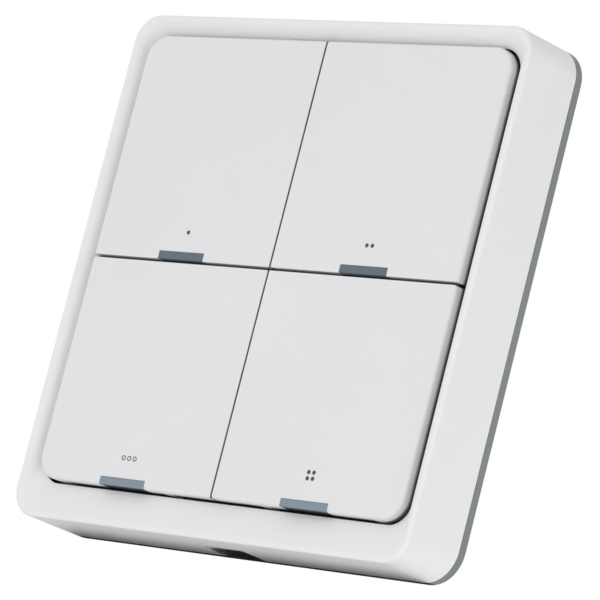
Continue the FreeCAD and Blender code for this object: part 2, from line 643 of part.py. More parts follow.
def make_key(key):
    """A key: shell, hinge lugs and pins, a post over the switch, stop hooks."""
    n, x = key["number"], key["centre"]
    pieces = [key_shell(key)]
    low, high = key["hinge"] + " - sizes.lug_half", key["hinge"] + " + sizes.lug_half"
    lug_floor = "places.frame_front_depth + sizes.lug_floor_gap"
    for sign in "+-":
        out = "%s %s sizes.key_width / 2" % (x, sign)
        skirt = "%s %s (sizes.key_width / 2 - sizes.key_wall)" % (x, sign)
        pin_tip = "%s %s (sizes.key_width / 2 - sizes.key_wall - sizes.pin_length)" % (x, sign)
        lug = (skirt, out) if sign == "+" else (out, skirt)
        pin = (pin_tip, out) if sign == "+" else (out, pin_tip)
        pieces.append(block("key_lug", *lug, lug_floor, "places.skirt_depth", low, high))
        pieces.append(cross_bar("key_pin", *pin, "places.hinge_depth", key["hinge"],
                                "sizes.pin_radius"))
    pieces.append(disc("key_post", x, key["switch"], "sizes.post_radius",
                       "places.plunger_front_depth + sizes.post_gap", "places.key_under_depth"))
    nose_front = "places.ledge_depth - sizes.hook_slack"
    nose_back = nose_front + " - sizes.hook_nose_depth"
    inside = key["foot"] + " + sizes.key_wall"
    for place in key["hooks"]:
        sides = (place + " - sizes.hook_width / 2", place + " + sizes.hook_width / 2")
        pieces.append(block("key_hook", *sides, nose_back, "places.skirt_depth",
                            key["foot"], inside))
        pieces.append(block("key_hook_nose", *sides, nose_back, nose_front,
                            inside, inside + " + sizes.hook_nose"))
    keep(joined("key_%d_whole" % n, pieces), "key_%d" % n)


def make_light_guide(key):
    """A light guide: the window in the key's face, a flange and a stem."""
    n, x = key["number"], key["centre"]
    half = "(sizes.guide_width / 2 - sizes.guide_fit)"
    foot = key["foot"] + " + sizes.guide_foot"
    head_top = foot + " + sizes.guide_height - sizes.guide_fit"
    flange_back = "places.key_under_depth - sizes.guide_flange"
    head = block("guide_head", x + " - " + half, x + " + " + half, flange_back,
                 "places.key_face_depth - sizes.guide_sink", foot, head_top)
    wide = "(sizes.guide_width / 2 + sizes.guide_flange_side)"
    flange_foot = key["foot"] + " + sizes.key_wall + sizes.guide_fit"
    flange = block("guide_flange", x + " - " + wide, x + " + " + wide, flange_back,
                   "places.key_under_depth", flange_foot,
                   flange_foot + " + sizes.guide_flange_height")
    stem = block("guide_stem", x + " - sizes.stem_width / 2", x + " + sizes.stem_width / 2",
                 "places.led_front_depth + sizes.stem_gap", flange_back,
                 key["lamp"] + " - sizes.stem_height / 2", key["lamp"] + " + sizes.stem_height / 2")
    keep(joined("guide_%d_whole" % n, [head, flange, stem]), "light_guide_%d" % n)


def make_switch(key):
    """A tactile switch: body, metal cover and plunger."""
    n, x, z = key["number"], key["centre"], key["switch"]
    reach = "sizes.switch_side / 2"
    sides = ("%s - %s" % (x, reach), "%s + %s" % (x, reach))
    levels = ("%s - %s" % (z, reach), "%s + %s" % (z, reach))
    bore_radius = "sizes.plunger_radius + sizes.plunger_clearance"
    sheet_back = "places.switch_front_depth - sizes.switch_sheet"
    case = block("switch_case", *sides, "places.board_front_depth", sheet_back, *levels)
    bore = disc("switch_bore", x, z, bore_radius,
                "places.board_front_depth + sizes.switch_floor", "places.switch_front_depth")
    keep(without("switch_%d_case" % n, case, [bore]), "switch_body_%d" % n)
    sheet = block("switch_lid", *sides, sheet_back, "places.switch_front_depth", *levels)
    hole = disc("switch_lid_hole", x, z, bore_radius, sheet_back, "places.switch_front_depth")
    keep(without("switch_%d_lid" % n, sheet, [hole]), "switch_cover_%d" % n)
    keep(disc("plunger_%d" % n, x, z, "sizes.plunger_radius",
              "places.plunger_front_depth - sizes.plunger_length",
              "places.plunger_front_depth"), "switch_plunger_%d" % n)


def make_lamp(key):
    n, x, z = key["number"], key["centre"], key["lamp"]
    keep(block("lamp_%d" % n, x + " - sizes.led_width / 2", x + " + sizes.led_width / 2",
               "places.board_front_depth", "places.led_front_depth",
               z + " - sizes.led_depth / 2", z + " + sizes.led_depth / 2"), "led_%d" % n)


for key in keys:
    make_key(key)
    make_light_guide(key)
    make_switch(key)
    make_lamp(key)

# Circuit board: one sheet with a hole for each case screw.
screw_spots = [(x, z) for x in both_ways("places.boss_x") for z in both_ways("places.boss_z")]
board_x = "(places.wall_x - sizes.board_side_gap)"
board_z = "(places.wall_z - sizes.board_side_gap)"
board = new_body("circuit_board")
pad(board, "places.board_back_depth", "sizes.board_thickness",
    [("rounded", "-" + board_x, board_x, "-" + board_z, board_z,
      "places.wall_round - sizes.board_side_gap")])
cut(board, "places.board_back_depth", "sizes.board_thickness",
    [("circle", x, z, "sizes.screw_radius + sizes.screw_hole_gap") for x, z in screw_spots])
keep(board, "circuit_board")

# Rear cover: a plate open at the cells, the wall screws, the arms and the notch.
cell_spots = [("-places.key_centre", "places.cell_z"), ("places.key_centre", "places.cell_z")]
cover = new_body("rear_cover")
pad(cover, "places.cover_back_depth", "sizes.cover_thickness",
    [("rounded", "-" + frame_x, frame_x, "-" + frame_z, frame_z, frame_round)])
cut(cover, "places.cover_back_depth", "sizes.cover_thickness",
    [("circle", x, z, "sizes.cell_radius + sizes.cover_cell_gap") for x, z in cell_spots])
cut(cover, "places.cover_back_depth", "sizes.cover_thickness",
    [("circle", x, "0", "sizes.screw_window") for x in both_ways("places.slot_x")])
arm_reach = "(sizes.arm_width / 2 + sizes.arm_cover_gap)"
arm_floor = "(%s - sizes.arm_cover_gap)" % arm_in
edge_out = "(places.half_height)"
cover_notches = []
for middle in both_ways("sizes.arm_spread"):
    sides = (middle + " - " + arm_reach, middle + " + " + arm_reach)
    cover_notches.append(("rectangle", *sides, arm_floor, edge_out))
    cover_notches.append(("rectangle", *sides, "-" + edge_out, "-" + arm_floor))
cover_notches.append(("rectangle", "-sizes.pry_back_width / 2", "sizes.pry_back_width / 2",
                      "-" + edge_out, "-(places.wall_z - sizes.pry_cover_depth)"))
cut(cover, "places.cover_back_depth", "sizes.cover_thickness", cover_notches)
pad(cover, "places.cover_front_depth", "places.board_back_depth - places.cover_front_depth",
    [("circle", x, z, "sizes.cover_boss_radius") for x, z in screw_spots])
cut(cover, "places.cover_back_depth", "places.board_back_depth - places.cover_back_depth",
    [("circle", x, z, "sizes.screw_radius + sizes.screw_hole_gap") for x, z in screw_spots])
cut(cover, "places.cover_back_depth", "sizes.cover_sink",
    [("circle", x, z, "sizes.screw_head_radius + sizes.screw_hole_gap") for x, z in screw_spots])
keep(cover, "rear_cover")

# Case screws: four alike, through rear cover and board into the housing's posts.
head_front = "places.cover_back_depth + sizes.cover_sink"
head_back = head_front + " - sizes.screw_head_height"
screws = []
for x, z in screw_spots:
    shank = disc("screw_shank", x, z, "sizes.screw_radius", head_front,
                 "places.board_front_depth + sizes.screw_bite")
    head = disc("screw_head", x, z, "sizes.screw_head_radius", head_back, head_front)
    slot = block("screw_slot", x + " - sizes.screw_head_radius", x + " + sizes.screw_head_radius",
                 head_back, head_back + " + sizes.drive_slot",
                 z + " - sizes.drive_slot / 2", z + " + sizes.drive_slot / 2")
    screws.append(without("case_screw", joined("screw_blank", [shank, head]), [slot]))
screw_group = doc.addObject("Part::Compound", "screw_group")
screw_group.Links = screws
keep(screw_group, "case_screws")

# Coin cells, each in a ring under the board with a plus clip and a minus contact.
for n, (x, z) in enumerate(cell_spots, start=1):
    inward = "+" if n == 1 else "-"
    keep(disc("cell_%d" % n, x, z, "sizes.cell_radius", "places.cell_back_depth",
              "places.cell_front_depth"), "coin_cell_%d" % n)
    ring_back = "places.cover_front_depth + sizes.holder_cover_gap"
    ring_inner = "sizes.cell_radius + sizes.holder_gap"
    ring = disc("holder_disc", x, z, ring_inner + " + sizes.holder_wall", ring_back,
                "places.board_back_depth")
    bore = disc("holder_bore", x, z, ring_inner, ring_back, "places.board_back_depth")

    def from_cell(distance):
        return "%s %s (%s)" % (x, inward, distance)

    def across(near, far):
        faces = (from_cell(near), from_cell(far))
        return faces if inward == "+" else faces[::-1]

    clip_half = "sizes.clip_width / 2"
    slot_half = "(sizes.clip_width / 2 + sizes.clip_slot_gap)"
    slot = block("holder_slot",
                 *across("sizes.cell_radius / 2", "sizes.cell_radius + 2 * sizes.holder_wall"),
                 ring_back, "places.board_back_depth", z + " - " + slot_half, z + " + " + slot_half)
    keep(without("holder_%d" % n, ring, [bore, slot]), "cell_holder_%d" % n)
    clip_in = "sizes.cell_radius + sizes.holder_gap"
    clip_out = clip_in + " + sizes.clip_sheet"
    clip_back = "places.cell_back_depth - sizes.clip_sheet"
    levels = ("%s - %s" % (z, clip_half), "%s + %s" % (z, clip_half))
    leg = block("clip_leg", *across(clip_in, clip_out), clip_back, "places.board_back_depth", *levels)
    finger = block("clip_finger", *across("sizes.cell_radius - sizes.clip_reach", clip_out),
                   clip_back, "places.cell_back_depth", *levels)
    keep(joined("clip_%d" % n, [leg, finger]), "cell_clip_%d" % n)
    keep(block("contact_%d" % n, x + " - sizes.contact_length / 2", x + " + sizes.contact_length / 2",
               "places.cell_front_depth", "places.board_back_depth",
               z + " - sizes.contact_width / 2", z + " + sizes.contact_width / 2"),
         "cell_contact_%d" % n)


def on_board_back(name, x, z, width, length, height, lift="0"):
    """A component on the board's back face, its middle at x and z."""
    base = "places.board_back_depth - (%s)" % lift
    return block(name, "%s - %s / 2" % (x, width), "%s + %s / 2" % (x, width),
                 "%s - %s" % (base, height), base,
                 "%s - %s / 2" % (z, length), "%s + %s / 2" % (z, length))


# The wi-fi radio and the other components on the board's back.
radio = ("-sizes.radio_side", "places.radio_z")
keep(on_board_back("radio_plate", *radio, "sizes.radio_width", "sizes.radio_length",
                   "sizes.radio_thickness"), "radio_board")
shield_up = "places.radio_z + (sizes.radio_length - sizes.shield_length) / 2 - sizes.shield_margin"
keep(on_board_back("radio_lid", radio[0], "(%s)" % shield_up,
                   "(sizes.radio_width - 2 * sizes.shield_margin)", "sizes.shield_length",
                   "sizes.shield_height", "sizes.radio_thickness"), "radio_shield")
chip = ("sizes.chip_across", "places.chip_z")
keep(on_board_back("chip_case", *chip, "sizes.chip_side", "sizes.chip_side",
                   "sizes.chip_height"), "controller_chip")
keep(disc("coil", "sizes.coil_across", "places.coil_z", "sizes.coil_radius",
          "places.board_back_depth - sizes.coil_height", "places.board_back_depth"),
     "power_inductor")
crystal_up = "(places.chip_z - sizes.chip_side / 2 - sizes.crystal_gap)"
keep(on_board_back("crystal_can", chip[0], crystal_up, "sizes.crystal_width",
                   "sizes.crystal_length", "sizes.crystal_height"), "crystal")
capacitors = []
for step in range(5):
    up = "(places.chip_z - sizes.chip_side / 2 + %d * sizes.capacitor_pitch)" % step
    beside = "(sizes.chip_across + sizes.chip_side / 2 + sizes.capacitor_pitch)"
    capacitors.append(on_board_back("capacitor", beside, up, "sizes.capacitor_length",
                                    "sizes.capacitor_width", "sizes.capacitor_height"))
capacitor_group = doc.addObject("Part::Compound", "capacitor_group")
capacitor_group.Links = capacitors
keep(capacitor_group, "chip_capacitors")

doc.recompute()
broken = [feature.Label for feature in doc.Objects
          if "Invalid" in feature.State or "Error" in feature.State]
if broken:
    raise RuntimeError("these did not build: " + ", ".join(broken))
for part in parts:
    if part.Shape.isNull() or not part.Shape.isValid():
        raise RuntimeError("bad shape: " + part.Label)

os.makedirs("parts", exist_ok=True)
for part in parts:
    part.Shape.exportStep("parts/%s.step" % part.Label)
    print(part.Label, len(part.Shape.Solids), round(part.Shape.Volume, 2))
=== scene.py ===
# Four-key wi-fi wall switch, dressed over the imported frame
import bpy
import bmesh
import json
import math
from mathutils import Matrix, Vector

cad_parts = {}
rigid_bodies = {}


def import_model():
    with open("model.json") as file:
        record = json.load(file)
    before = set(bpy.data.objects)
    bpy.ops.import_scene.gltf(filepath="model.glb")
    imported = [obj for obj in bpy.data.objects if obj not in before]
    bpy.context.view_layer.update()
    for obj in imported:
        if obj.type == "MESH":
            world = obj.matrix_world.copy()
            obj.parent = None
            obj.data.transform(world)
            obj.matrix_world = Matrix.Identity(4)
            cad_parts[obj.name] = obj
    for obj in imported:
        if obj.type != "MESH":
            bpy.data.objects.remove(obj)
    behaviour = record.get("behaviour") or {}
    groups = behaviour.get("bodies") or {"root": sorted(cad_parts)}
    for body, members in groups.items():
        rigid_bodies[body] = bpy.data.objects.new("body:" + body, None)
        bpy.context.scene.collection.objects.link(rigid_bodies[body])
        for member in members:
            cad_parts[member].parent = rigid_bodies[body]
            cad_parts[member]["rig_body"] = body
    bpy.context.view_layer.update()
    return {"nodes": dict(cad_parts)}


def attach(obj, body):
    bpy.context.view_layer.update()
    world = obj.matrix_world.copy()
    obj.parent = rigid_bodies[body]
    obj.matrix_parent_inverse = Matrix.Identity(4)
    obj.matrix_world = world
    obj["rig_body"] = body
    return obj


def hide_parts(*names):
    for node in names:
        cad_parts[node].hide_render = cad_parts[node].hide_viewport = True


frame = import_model()
nodes = frame["nodes"]
mm = 0.001
print("frame loaded:", len(nodes), "nodes")


# camera: seen from the lower right with a long lens, leaning as in the picture
camera = {
    "place": (520.75 * mm, -547.52 * mm, -134.52 * mm),
    "forward": (-0.68130658, 0.71089539, 0.17449672),
    "lean": 14.334,            # degrees
    "focalPixels": 4821.4,     # focal length in pixels of the square frame
    "framePixels": 600,
    "filmWidth": 36,           # millimetres
    "nearest": 0.01,           # metres
}


def addCamera():
    data = bpy.data.cameras.new("camera")
    data.sensor_width = camera["filmWidth"]
    data.lens = camera["focalPixels"] / camera["framePixels"] * camera["filmWidth"]
    data.clip_start = camera["nearest"]
    eye = bpy.data.objects.new("camera", data)
    bpy.context.scene.collection.objects.link(eye)
    turn = Vector(camera["forward"]).to_track_quat("-Z", "Y").to_matrix()
    lean = Matrix.Rotation(math.radians(camera["lean"]), 3, "Z")
    eye.matrix_world = Matrix.Translation(camera["place"]) @ (turn @ lean).to_4x4()
    bpy.context.scene.camera = eye


addCamera()


# modelling by hand: depth is measured from the wall towards the front, in millimetres
def selectNothing():
    for item in list(bpy.context.selected_objects):
        item.select_set(False)


def selectOnly(piece):
    selectNothing()
    piece.select_set(True)
    bpy.context.view_layer.objects.active = piece


def editMode(wanted):
    bpy.ops.object.mode_set(mode="EDIT" if wanted else "OBJECT")


def startPlate(name, outline, depth, steps):
    # a flat rounded rectangle that faces the front, left open in edit mode
    left, right, foot, top, corner = outline
    selectNothing()
    bpy.ops.mesh.primitive_plane_add(size=mm, rotation=(math.pi / 2, 0, 0),
                                     location=((left + right) / 2 * mm, -depth * mm, (foot + top) / 2 * mm))
    piece = bpy.context.object
    piece.name = piece.data.name = name
    piece.scale = (right - left, top - foot, 1)
    bpy.ops.object.transform_apply(location=True, rotation=True, scale=True)
    editMode(True)
    bpy.ops.mesh.select_mode(type="VERT")
    bpy.ops.mesh.select_all(action="SELECT")
    bpy.ops.mesh.bevel(offset=corner * mm, segments=steps, affect="VERTICES")
    bpy.ops.mesh.select_mode(type="FACE")
    bpy.ops.mesh.select_all(action="SELECT")
    return piece


def startDisc(name, spot, radius, low, high, sides=96):
    # a round block between two depths
    selectNothing()
    bpy.ops.mesh.primitive_cylinder_add(
        vertices=sides, radius=radius * mm, depth=(high - low) * mm, rotation=(math.pi / 2, 0, 0),
        location=(spot[0] * mm, -(high + low) / 2 * mm, spot[1] * mm))
    piece = bpy.context.object
    piece.name = piece.data.name = name
    bpy.ops.object.transform_apply(location=True, rotation=True, scale=True)
    return piece


def pickEnd(piece, way):
    # opens the piece with its flat end picked: 1 looks to the wall, -1 to the front
    straight = 0.9                                         # least share of the normal that looks that way
    editMode(True)
    bpy.ops.mesh.select_mode(type="FACE")
    mesh = bmesh.from_edit_mesh(piece.data)
    for face in mesh.faces:
        face.select = face.normal.y * way > straight
    bmesh.update_edit_mesh(piece.data)


def step(inward, forward):
    bpy.ops.mesh.inset(thickness=inward * mm, depth=forward * mm, use_even_offset=True)


def roundRim(radius, steps=4):
    # carries the picked face forwards over a quarter round
    turn = math.pi / 2 / steps
    for n in range(steps):
        step(radius * (math.cos(turn * n) - math.cos(turn * (n + 1))),
             radius * (math.sin(turn * (n + 1)) - math.sin(turn * n)))


def pickVerts(piece, wanted, among=None):
    # selects the vertices whose place in millimetres is wanted
    mesh = bmesh.from_edit_mesh(piece.data)
    for vert in mesh.verts:
        vert.select = wanted(vert.co / mm) and (among is None or vert.index in among)
    mesh.select_flush_mode()
    bmesh.update_edit_mesh(piece.data)


def pickedVerts(piece):
    mesh = bmesh.from_edit_mesh(piece.data)
    mesh.verts.index_update()
    return {vert.index for vert in mesh.verts if vert.select}


def joinPieces(first, *others):
    selectOnly(first)
    for item in others:
        item.select_set(True)
    if others:
        bpy.ops.object.join()
    return first


def applyModifier(piece, kind, **values):
    selectOnly(piece)
    modifier = piece.modifiers.new(kind.lower(), kind)
    for key, value in values.items():
        setattr(modifier, key, value)
    bpy.ops.object.modifier_apply(modifier=modifier.name)


def cutWith(piece, other, how):
    applyModifier(piece, "BOOLEAN", object=other, operation=how, solver="EXACT")
    bpy.data.objects.remove(other, do_unlink=True)


shading = {"smoothUnder": 30, "faceWeight": 100}           # degrees between faces; pull of the larger faces


def finishPiece(piece, finish, body):
    # smooth where faces meet at a low angle, then dressed, and set on its body
    selectOnly(piece)
    bpy.ops.object.shade_smooth_by_angle(angle=math.radians(shading["smoothUnder"]))
    applyModifier(piece, "WEIGHTED_NORMAL", keep_sharp=True, weight=shading["faceWeight"])
    piece.data.materials.clear()
    piece.data.materials.append(finish)
    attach(piece, body)


# materials. the textures share these octaves and roughness of noise, and depths of bump in millimetres
texture = {
    "cloudDetail": 3.0, "grainDetail": 2.0, "rough": 0.55, "scratchDetail": 5.0, "scratchRough": 0.6,
    "foamDetail": 4.0, "plasticBump": 0.02, "metalBump": 0.01, "boardBump": 0.035, "foamBump": 0.06,
}


def newMaterial(name):
    material = bpy.data.materials.new(name)
    material.use_nodes = True
    return material, material.node_tree, material.node_tree.nodes["Principled BSDF"]


def addNode(tree, kind, **values):
    node = tree.nodes.new(kind)
    for key, value in values.items():
        if hasattr(node, key):
            setattr(node, key, value)
        else:
            node.inputs[key].default_value = value
    return node


def noiseOn(tree, scale, detail):
    coords = addNode(tree, "ShaderNodeTexCoord")
    noise = addNode(tree, "ShaderNodeTexNoise", Scale=scale, Detail=detail, Roughness=texture["rough"])
    tree.links.new(coords.outputs["Object"], noise.inputs["Vector"])
    return noise.outputs["Fac"]


def rangeOf(tree, source, low, high, fromLow=0.3, fromHigh=0.7):
    # maps what a source gives on to low and high; a noise mostly lies between 0.3 and 0.7
    spread = addNode(tree, "ShaderNodeMapRange")
    spread.inputs["From Min"].default_value = fromLow
    spread.inputs["From Max"].default_value = fromHigh
    spread.inputs["To Min"].default_value = low
    spread.inputs["To Max"].default_value = high
    tree.links.new(source, spread.inputs["Value"])
    return spread.outputs["Result"]


def colourMixer(tree, factor, second):
    # a colour Mix node: factor goes to input 0, the first colour to input 6, the second to input 7
    mix = addNode(tree, "ShaderNodeMix", data_type="RGBA")
    mix.inputs[7].default_value = (*second, 1)
    tree.links.new(factor, mix.inputs[0])
    return mix


def colourBlend(tree, factor, first, second):
    mix = colourMixer(tree, factor, second)
    mix.inputs[6].default_value = (*first, 1)
    return mix.outputs[2]


def bumpFrom(tree, shader, height, strength, distance):
    bump = addNode(tree, "ShaderNodeBump", Strength=strength, Distance=distance)
    tree.links.new(height, bump.inputs["Height"])
    tree.links.new(bump.outputs["Normal"], shader.inputs["Normal"])


def mouldedPlastic(name, look):
    # fine spark texture, with a slow change of tone and of gloss
    material, tree, shader = newMaterial(name)
    slow = noiseOn(tree, look["cloudScale"], texture["cloudDetail"])
    grain = noiseOn(tree, look["grainScale"], texture["grainDetail"])
    tone = colourBlend(tree, rangeOf(tree, slow, 0, 1), look["dark"], look["light"])
    tree.links.new(tone, shader.inputs["Base Color"])
    gloss = rangeOf(tree, slow, look["gloss"][0], look["gloss"][1])
    tree.links.new(gloss, shader.inputs["Roughness"])
    shader.inputs["Specular IOR Level"].default_value = look["specular"]
    bumpFrom(tree, shader, grain, look["grain"], texture["plasticBump"] * mm)
    return material


def objectAxes(tree):
    # across, depth and height on the piece, in metres; depth is negative towards the front
    coords = addNode(tree, "ShaderNodeTexCoord")
    axes = addNode(tree, "ShaderNodeSeparateXYZ")
    tree.links.new(coords.outputs["Object"], axes.inputs[0])
    return axes.outputs


def sumOf(tree, operation, *terms):
    # a Math node on sockets and plain numbers
    node = addNode(tree, "ShaderNodeMath", operation=operation)
    for place, term in enumerate(terms):
        if isinstance(term, (int, float)):
            node.inputs[place].default_value = term
        else:
            tree.links.new(term, node.inputs[place])
    return node.outputs[0]


def recolour(material, factor, second):
    # mixes another colour into what already feeds the base colour
    tree, shader = material.node_tree, material.node_tree.nodes["Principled BSDF"]
    first = shader.inputs["Base Color"].links[0].from_socket
    mix = colourMixer(tree, factor, second)
    tree.links.new(first, mix.inputs[6])
    tree.links.new(mix.outputs[2], shader.inputs["Base Color"])


# key plastic is a tone under the housing's, with painted shade on the walls of the thin joints and on the
# skirts round the keys.
# each pair of limits is where a mask is 0 and where it is full, in millimetres
keyJoint = {
    "across": (0.4, 0.3), "acrossDepth": (12.74, 12.58), "acrossShade": (0.2, 0.2, 0.205),
    "middle": 1.385, "up": (0.48, 0.38), "upDepth": (11.5, 10.9), "upShade": (0.06, 0.06, 0.065),
    "sillFall": 0.05,                                      # the sill mask starts this far under the middle
    "side": 35.35, "foot": -32.14, "top": 35.37,           # middles of the outer round corners
    "round": (3.8, 3.95), "rimDepth": (11.5, 10.9), "skirtShade": (0.12, 0.12, 0.125),
    "hooks": (10.5, 34.35), "hookHalf": (0.95, 1.05), "hookDepth": (10.2, 10.3),
}


def makeKeyPlastic():
    joint = keyJoint
    material = mouldedPlastic("keyPlastic", {
        "dark": (0.728, 0.728, 0.740), "light": (0.750, 0.750, 0.760), "gloss": (0.46, 0.54),
        "specular": 0.4, "cloudScale": 22, "grainScale": 5200, "grain": 0.22})
    tree = material.node_tree
    x, y, z = objectAxes(tree)
    wide = sumOf(tree, "ABSOLUTE", x)
    rise = sumOf(tree, "ABSOLUTE", sumOf(tree, "SUBTRACT", z, joint["middle"] * mm))

    def ramp(source, limits, sign=1):
        # 0 at the first limit, 1 at the second
        return rangeOf(tree, source, 0, 1, *[sign * mm * limit for limit in limits])

    def both(first, second):
        return sumOf(tree, "MULTIPLY", first, second)

    def larger(first, second):
        return sumOf(tree, "MAXIMUM", first, second)

    def lessOf(first, second):
        return sumOf(tree, "SUBTRACT", first, second)

    # painted shade on the walls of the upright joint, on those of the level joint, and on the lower keys' top
    # edge under it
    level = ramp(rise, joint["up"])
    across = both(ramp(wide, joint["across"]), ramp(y, joint["acrossDepth"], -1))
    up = both(level, ramp(y, joint["upDepth"], -1))
    below = ramp(z, (joint["middle"], joint["middle"] - joint["sillFall"]))
    sill = both(both(level, below), ramp(y, joint["acrossDepth"], -1))
    recolour(material, larger(across, sill), joint["acrossShade"])
    recolour(material, up, joint["upShade"])

    # painted shade on the skirts all round, by the distance from the middles of the round corners; the hooks
    # are left out of it
    off = larger(lessOf(wide, joint["side"] * mm), 0)
    over = larger(larger(lessOf(z, joint["top"] * mm), lessOf(joint["foot"] * mm, z)), 0)
    edge = ramp(sumOf(tree, "SQRT", sumOf(tree, "ADD", both(off, off), both(over, over))), joint["round"])
    skirt = both(ramp(y, joint["rimDepth"], -1), ramp(y, joint["hookDepth"], -1))
    for hook in joint["hooks"]:
        fromHook = sumOf(tree, "ABSOLUTE", lessOf(wide, hook * mm))
        skirt = both(skirt, ramp(fromHook, joint["hookHalf"]))
    recolour(material, both(edge, skirt), joint["skirtShade"])
    return material


# smoky light guides, paler in the lower keys; the sides below the face carry painted shade in the lower keys
# and painted light in the upper keys
windowToneShade = {
    "rows": (-20, -10), "lowerFace": (0.20, 0.25, 0.305),
    "front": (12.7, 12.5), "back": (10.5, 10.4),           # the painted shade and light on the sides come in and end at these depths
    "lowerSideShade": (0.045, 0.053, 0.066), "upperSideLight": (0.28, 0.33, 0.38),
}


def makeWindowPlastic():
    toneShade = windowToneShade
    material = mouldedPlastic("windowPlastic", {
        "dark": (0.086, 0.120, 0.157), "light": (0.096, 0.131, 0.169), "gloss": (0.30, 0.36),
        "specular": 0.5, "cloudScale": 160, "grainScale": 3000, "grain": 0.15})
    tree = material.node_tree
    axes = objectAxes(tree)
    depth, height = axes["Y"], axes["Z"]
    rows = [limit * mm for limit in toneShade["rows"]]
    front, back = [[-limit * mm for limit in toneShade[end]] for end in ("front", "back")]
    recolour(material, rangeOf(tree, height, 1, 0, *rows), toneShade["lowerFace"])
    # painted shade on the sides of the lower keys' guides, painted light on those of the upper keys
    side = sumOf(tree, "MULTIPLY", rangeOf(tree, depth, 0, 1, *front), rangeOf(tree, depth, 1, 0, *back))
    recolour(material, side, toneShade["lowerSideShade"])
    upper = rangeOf(tree, height, 0, 1, *rows)
    recolour(material, sumOf(tree, "MULTIPLY", side, upper), toneShade["upperSideLight"])
    return material


def sheetMetal(name, look):
    # drawn metal: long scratches one way, slow change of tone
    material, tree, shader = newMaterial(name)
    coords = addNode(tree, "ShaderNodeTexCoord")
    stretch = addNode(tree, "ShaderNodeMapping")
    stretch.inputs["Scale"].default_value = look["stretch"]
    tree.links.new(coords.outputs["Object"], stretch.inputs["Vector"])
    scratch = addNode(tree, "ShaderNodeTexNoise", Scale=look["scratchScale"],
                      Detail=texture["scratchDetail"], Roughness=texture["scratchRough"])
    tree.links.new(stretch.outputs["Vector"], scratch.inputs["Vector"])
    slow = noiseOn(tree, look["cloudScale"], texture["cloudDetail"])
    tree.links.new(colourBlend(tree, rangeOf(tree, slow, 0, 1), look["dark"], look["light"]),
                   shader.inputs["Base Color"])
    tree.links.new(rangeOf(tree, scratch.outputs["Fac"], *look["gloss"]), shader.inputs["Roughness"])
    shader.inputs["Metallic"].default_value = 1.0
    bumpFrom(tree, shader, scratch.outputs["Fac"], look["grain"], texture["metalBump"] * mm)
    return material


def makeBoard(name, look):
    # solder mask over copper tracks: patches of tracks across, tracks up, and plain ground
    material, tree, shader = newMaterial(name)
    coords = addNode(tree, "ShaderNodeTexCoord")
    patches = addNode(tree, "ShaderNodeTexVoronoi", Scale=1 / (look["patch"] * mm),
                      Randomness=look["uneven"])
    patches.distance = "CHEBYCHEV"
    tree.links.new(coords.outputs["Object"], patches.inputs["Vector"])
    kind = addNode(tree, "ShaderNodeSeparateColor")
    tree.links.new(patches.outputs["Color"], kind.inputs[0])
    tracks = []
    waveFactor = 20                                        # a wave texture takes its scale so many times over
    fineness = 2 * math.pi / (waveFactor * look["pitch"] * mm)
    for way in ("X", "Z"):
        wave = addNode(tree, "ShaderNodeTexWave", Scale=fineness, Distortion=0.0)
        wave.wave_type, wave.bands_direction = "BANDS", way
        tree.links.new(coords.outputs["Object"], wave.inputs["Vector"])
        tracks.append(rangeOf(tree, wave.outputs["Fac"], 0, 1, *look["trackEdge"]))
    chosen = addNode(tree, "ShaderNodeMix")                # for numbers: factor at 0, first at 2, second at 3
    tree.links.new(sumOf(tree, "GREATER_THAN", kind.outputs[0], look["turned"]), chosen.inputs[0])
    tree.links.new(tracks[0], chosen.inputs[2])
    tree.links.new(tracks[1], chosen.inputs[3])
    tracked = sumOf(tree, "GREATER_THAN", kind.outputs[1], look["ground"])
    height = sumOf(tree, "MULTIPLY", chosen.outputs[0], tracked)
    tree.links.new(colourBlend(tree, height, look["mask"], look["copper"]), shader.inputs["Base Color"])
    slow = noiseOn(tree, look["cloudScale"], texture["cloudDetail"])
    tree.links.new(rangeOf(tree, slow, *look["gloss"]), shader.inputs["Roughness"])
    bumpFrom(tree, shader, height, look["relief"], texture["boardBump"] * mm)
    return material


def makeFoam(look):
    # closed-cell foam tape: rounded cells with a dull skin
    material, tree, shader = newMaterial("foamTape")
    cells = addNode(tree, "ShaderNodeTexVoronoi", Scale=look["cellScale"])
    coords = addNode(tree, "ShaderNodeTexCoord")
    tree.links.new(coords.outputs["Object"], cells.inputs["Vector"])
    slow = noiseOn(tree, look["cloudScale"], texture["foamDetail"])
    tree.links.new(colourBlend(tree, rangeOf(tree, slow, 0, 1), look["dark"], look["light"]),
                   shader.inputs["Base Color"])
    tree.links.new(rangeOf(tree, slow, *look["gloss"]), shader.inputs["Roughness"])
    bumpFrom(tree, shader, cells.outputs["Distance"], look["relief"], texture["foamBump"] * mm)
    return material


def makeCapacitorBody(ends):
    # tan ceramic, tinned from a little way off the middle, in millimetres
    material = mouldedPlastic("capacitorCeramic", {
        "dark": (0.30, 0.20, 0.11), "light": (0.36, 0.25, 0.14), "gloss": (0.38, 0.5),
        "specular": 0.5, "cloudScale": 500, "grainScale": 5000, "grain": 0.2})
    tree, shader = material.node_tree, material.node_tree.nodes["Principled BSDF"]
    across = objectAxes(tree)["X"]
    fromMiddle = sumOf(tree, "ABSOLUTE", sumOf(tree, "SUBTRACT", across, ends["middle"] * mm))
    tinned = rangeOf(tree, fromMiddle, 0, 1, *[limit * mm for limit in ends["bare"]])
    recolour(material, tinned, ends["tin"])
    tree.links.new(tinned, shader.inputs["Metallic"])
    return material


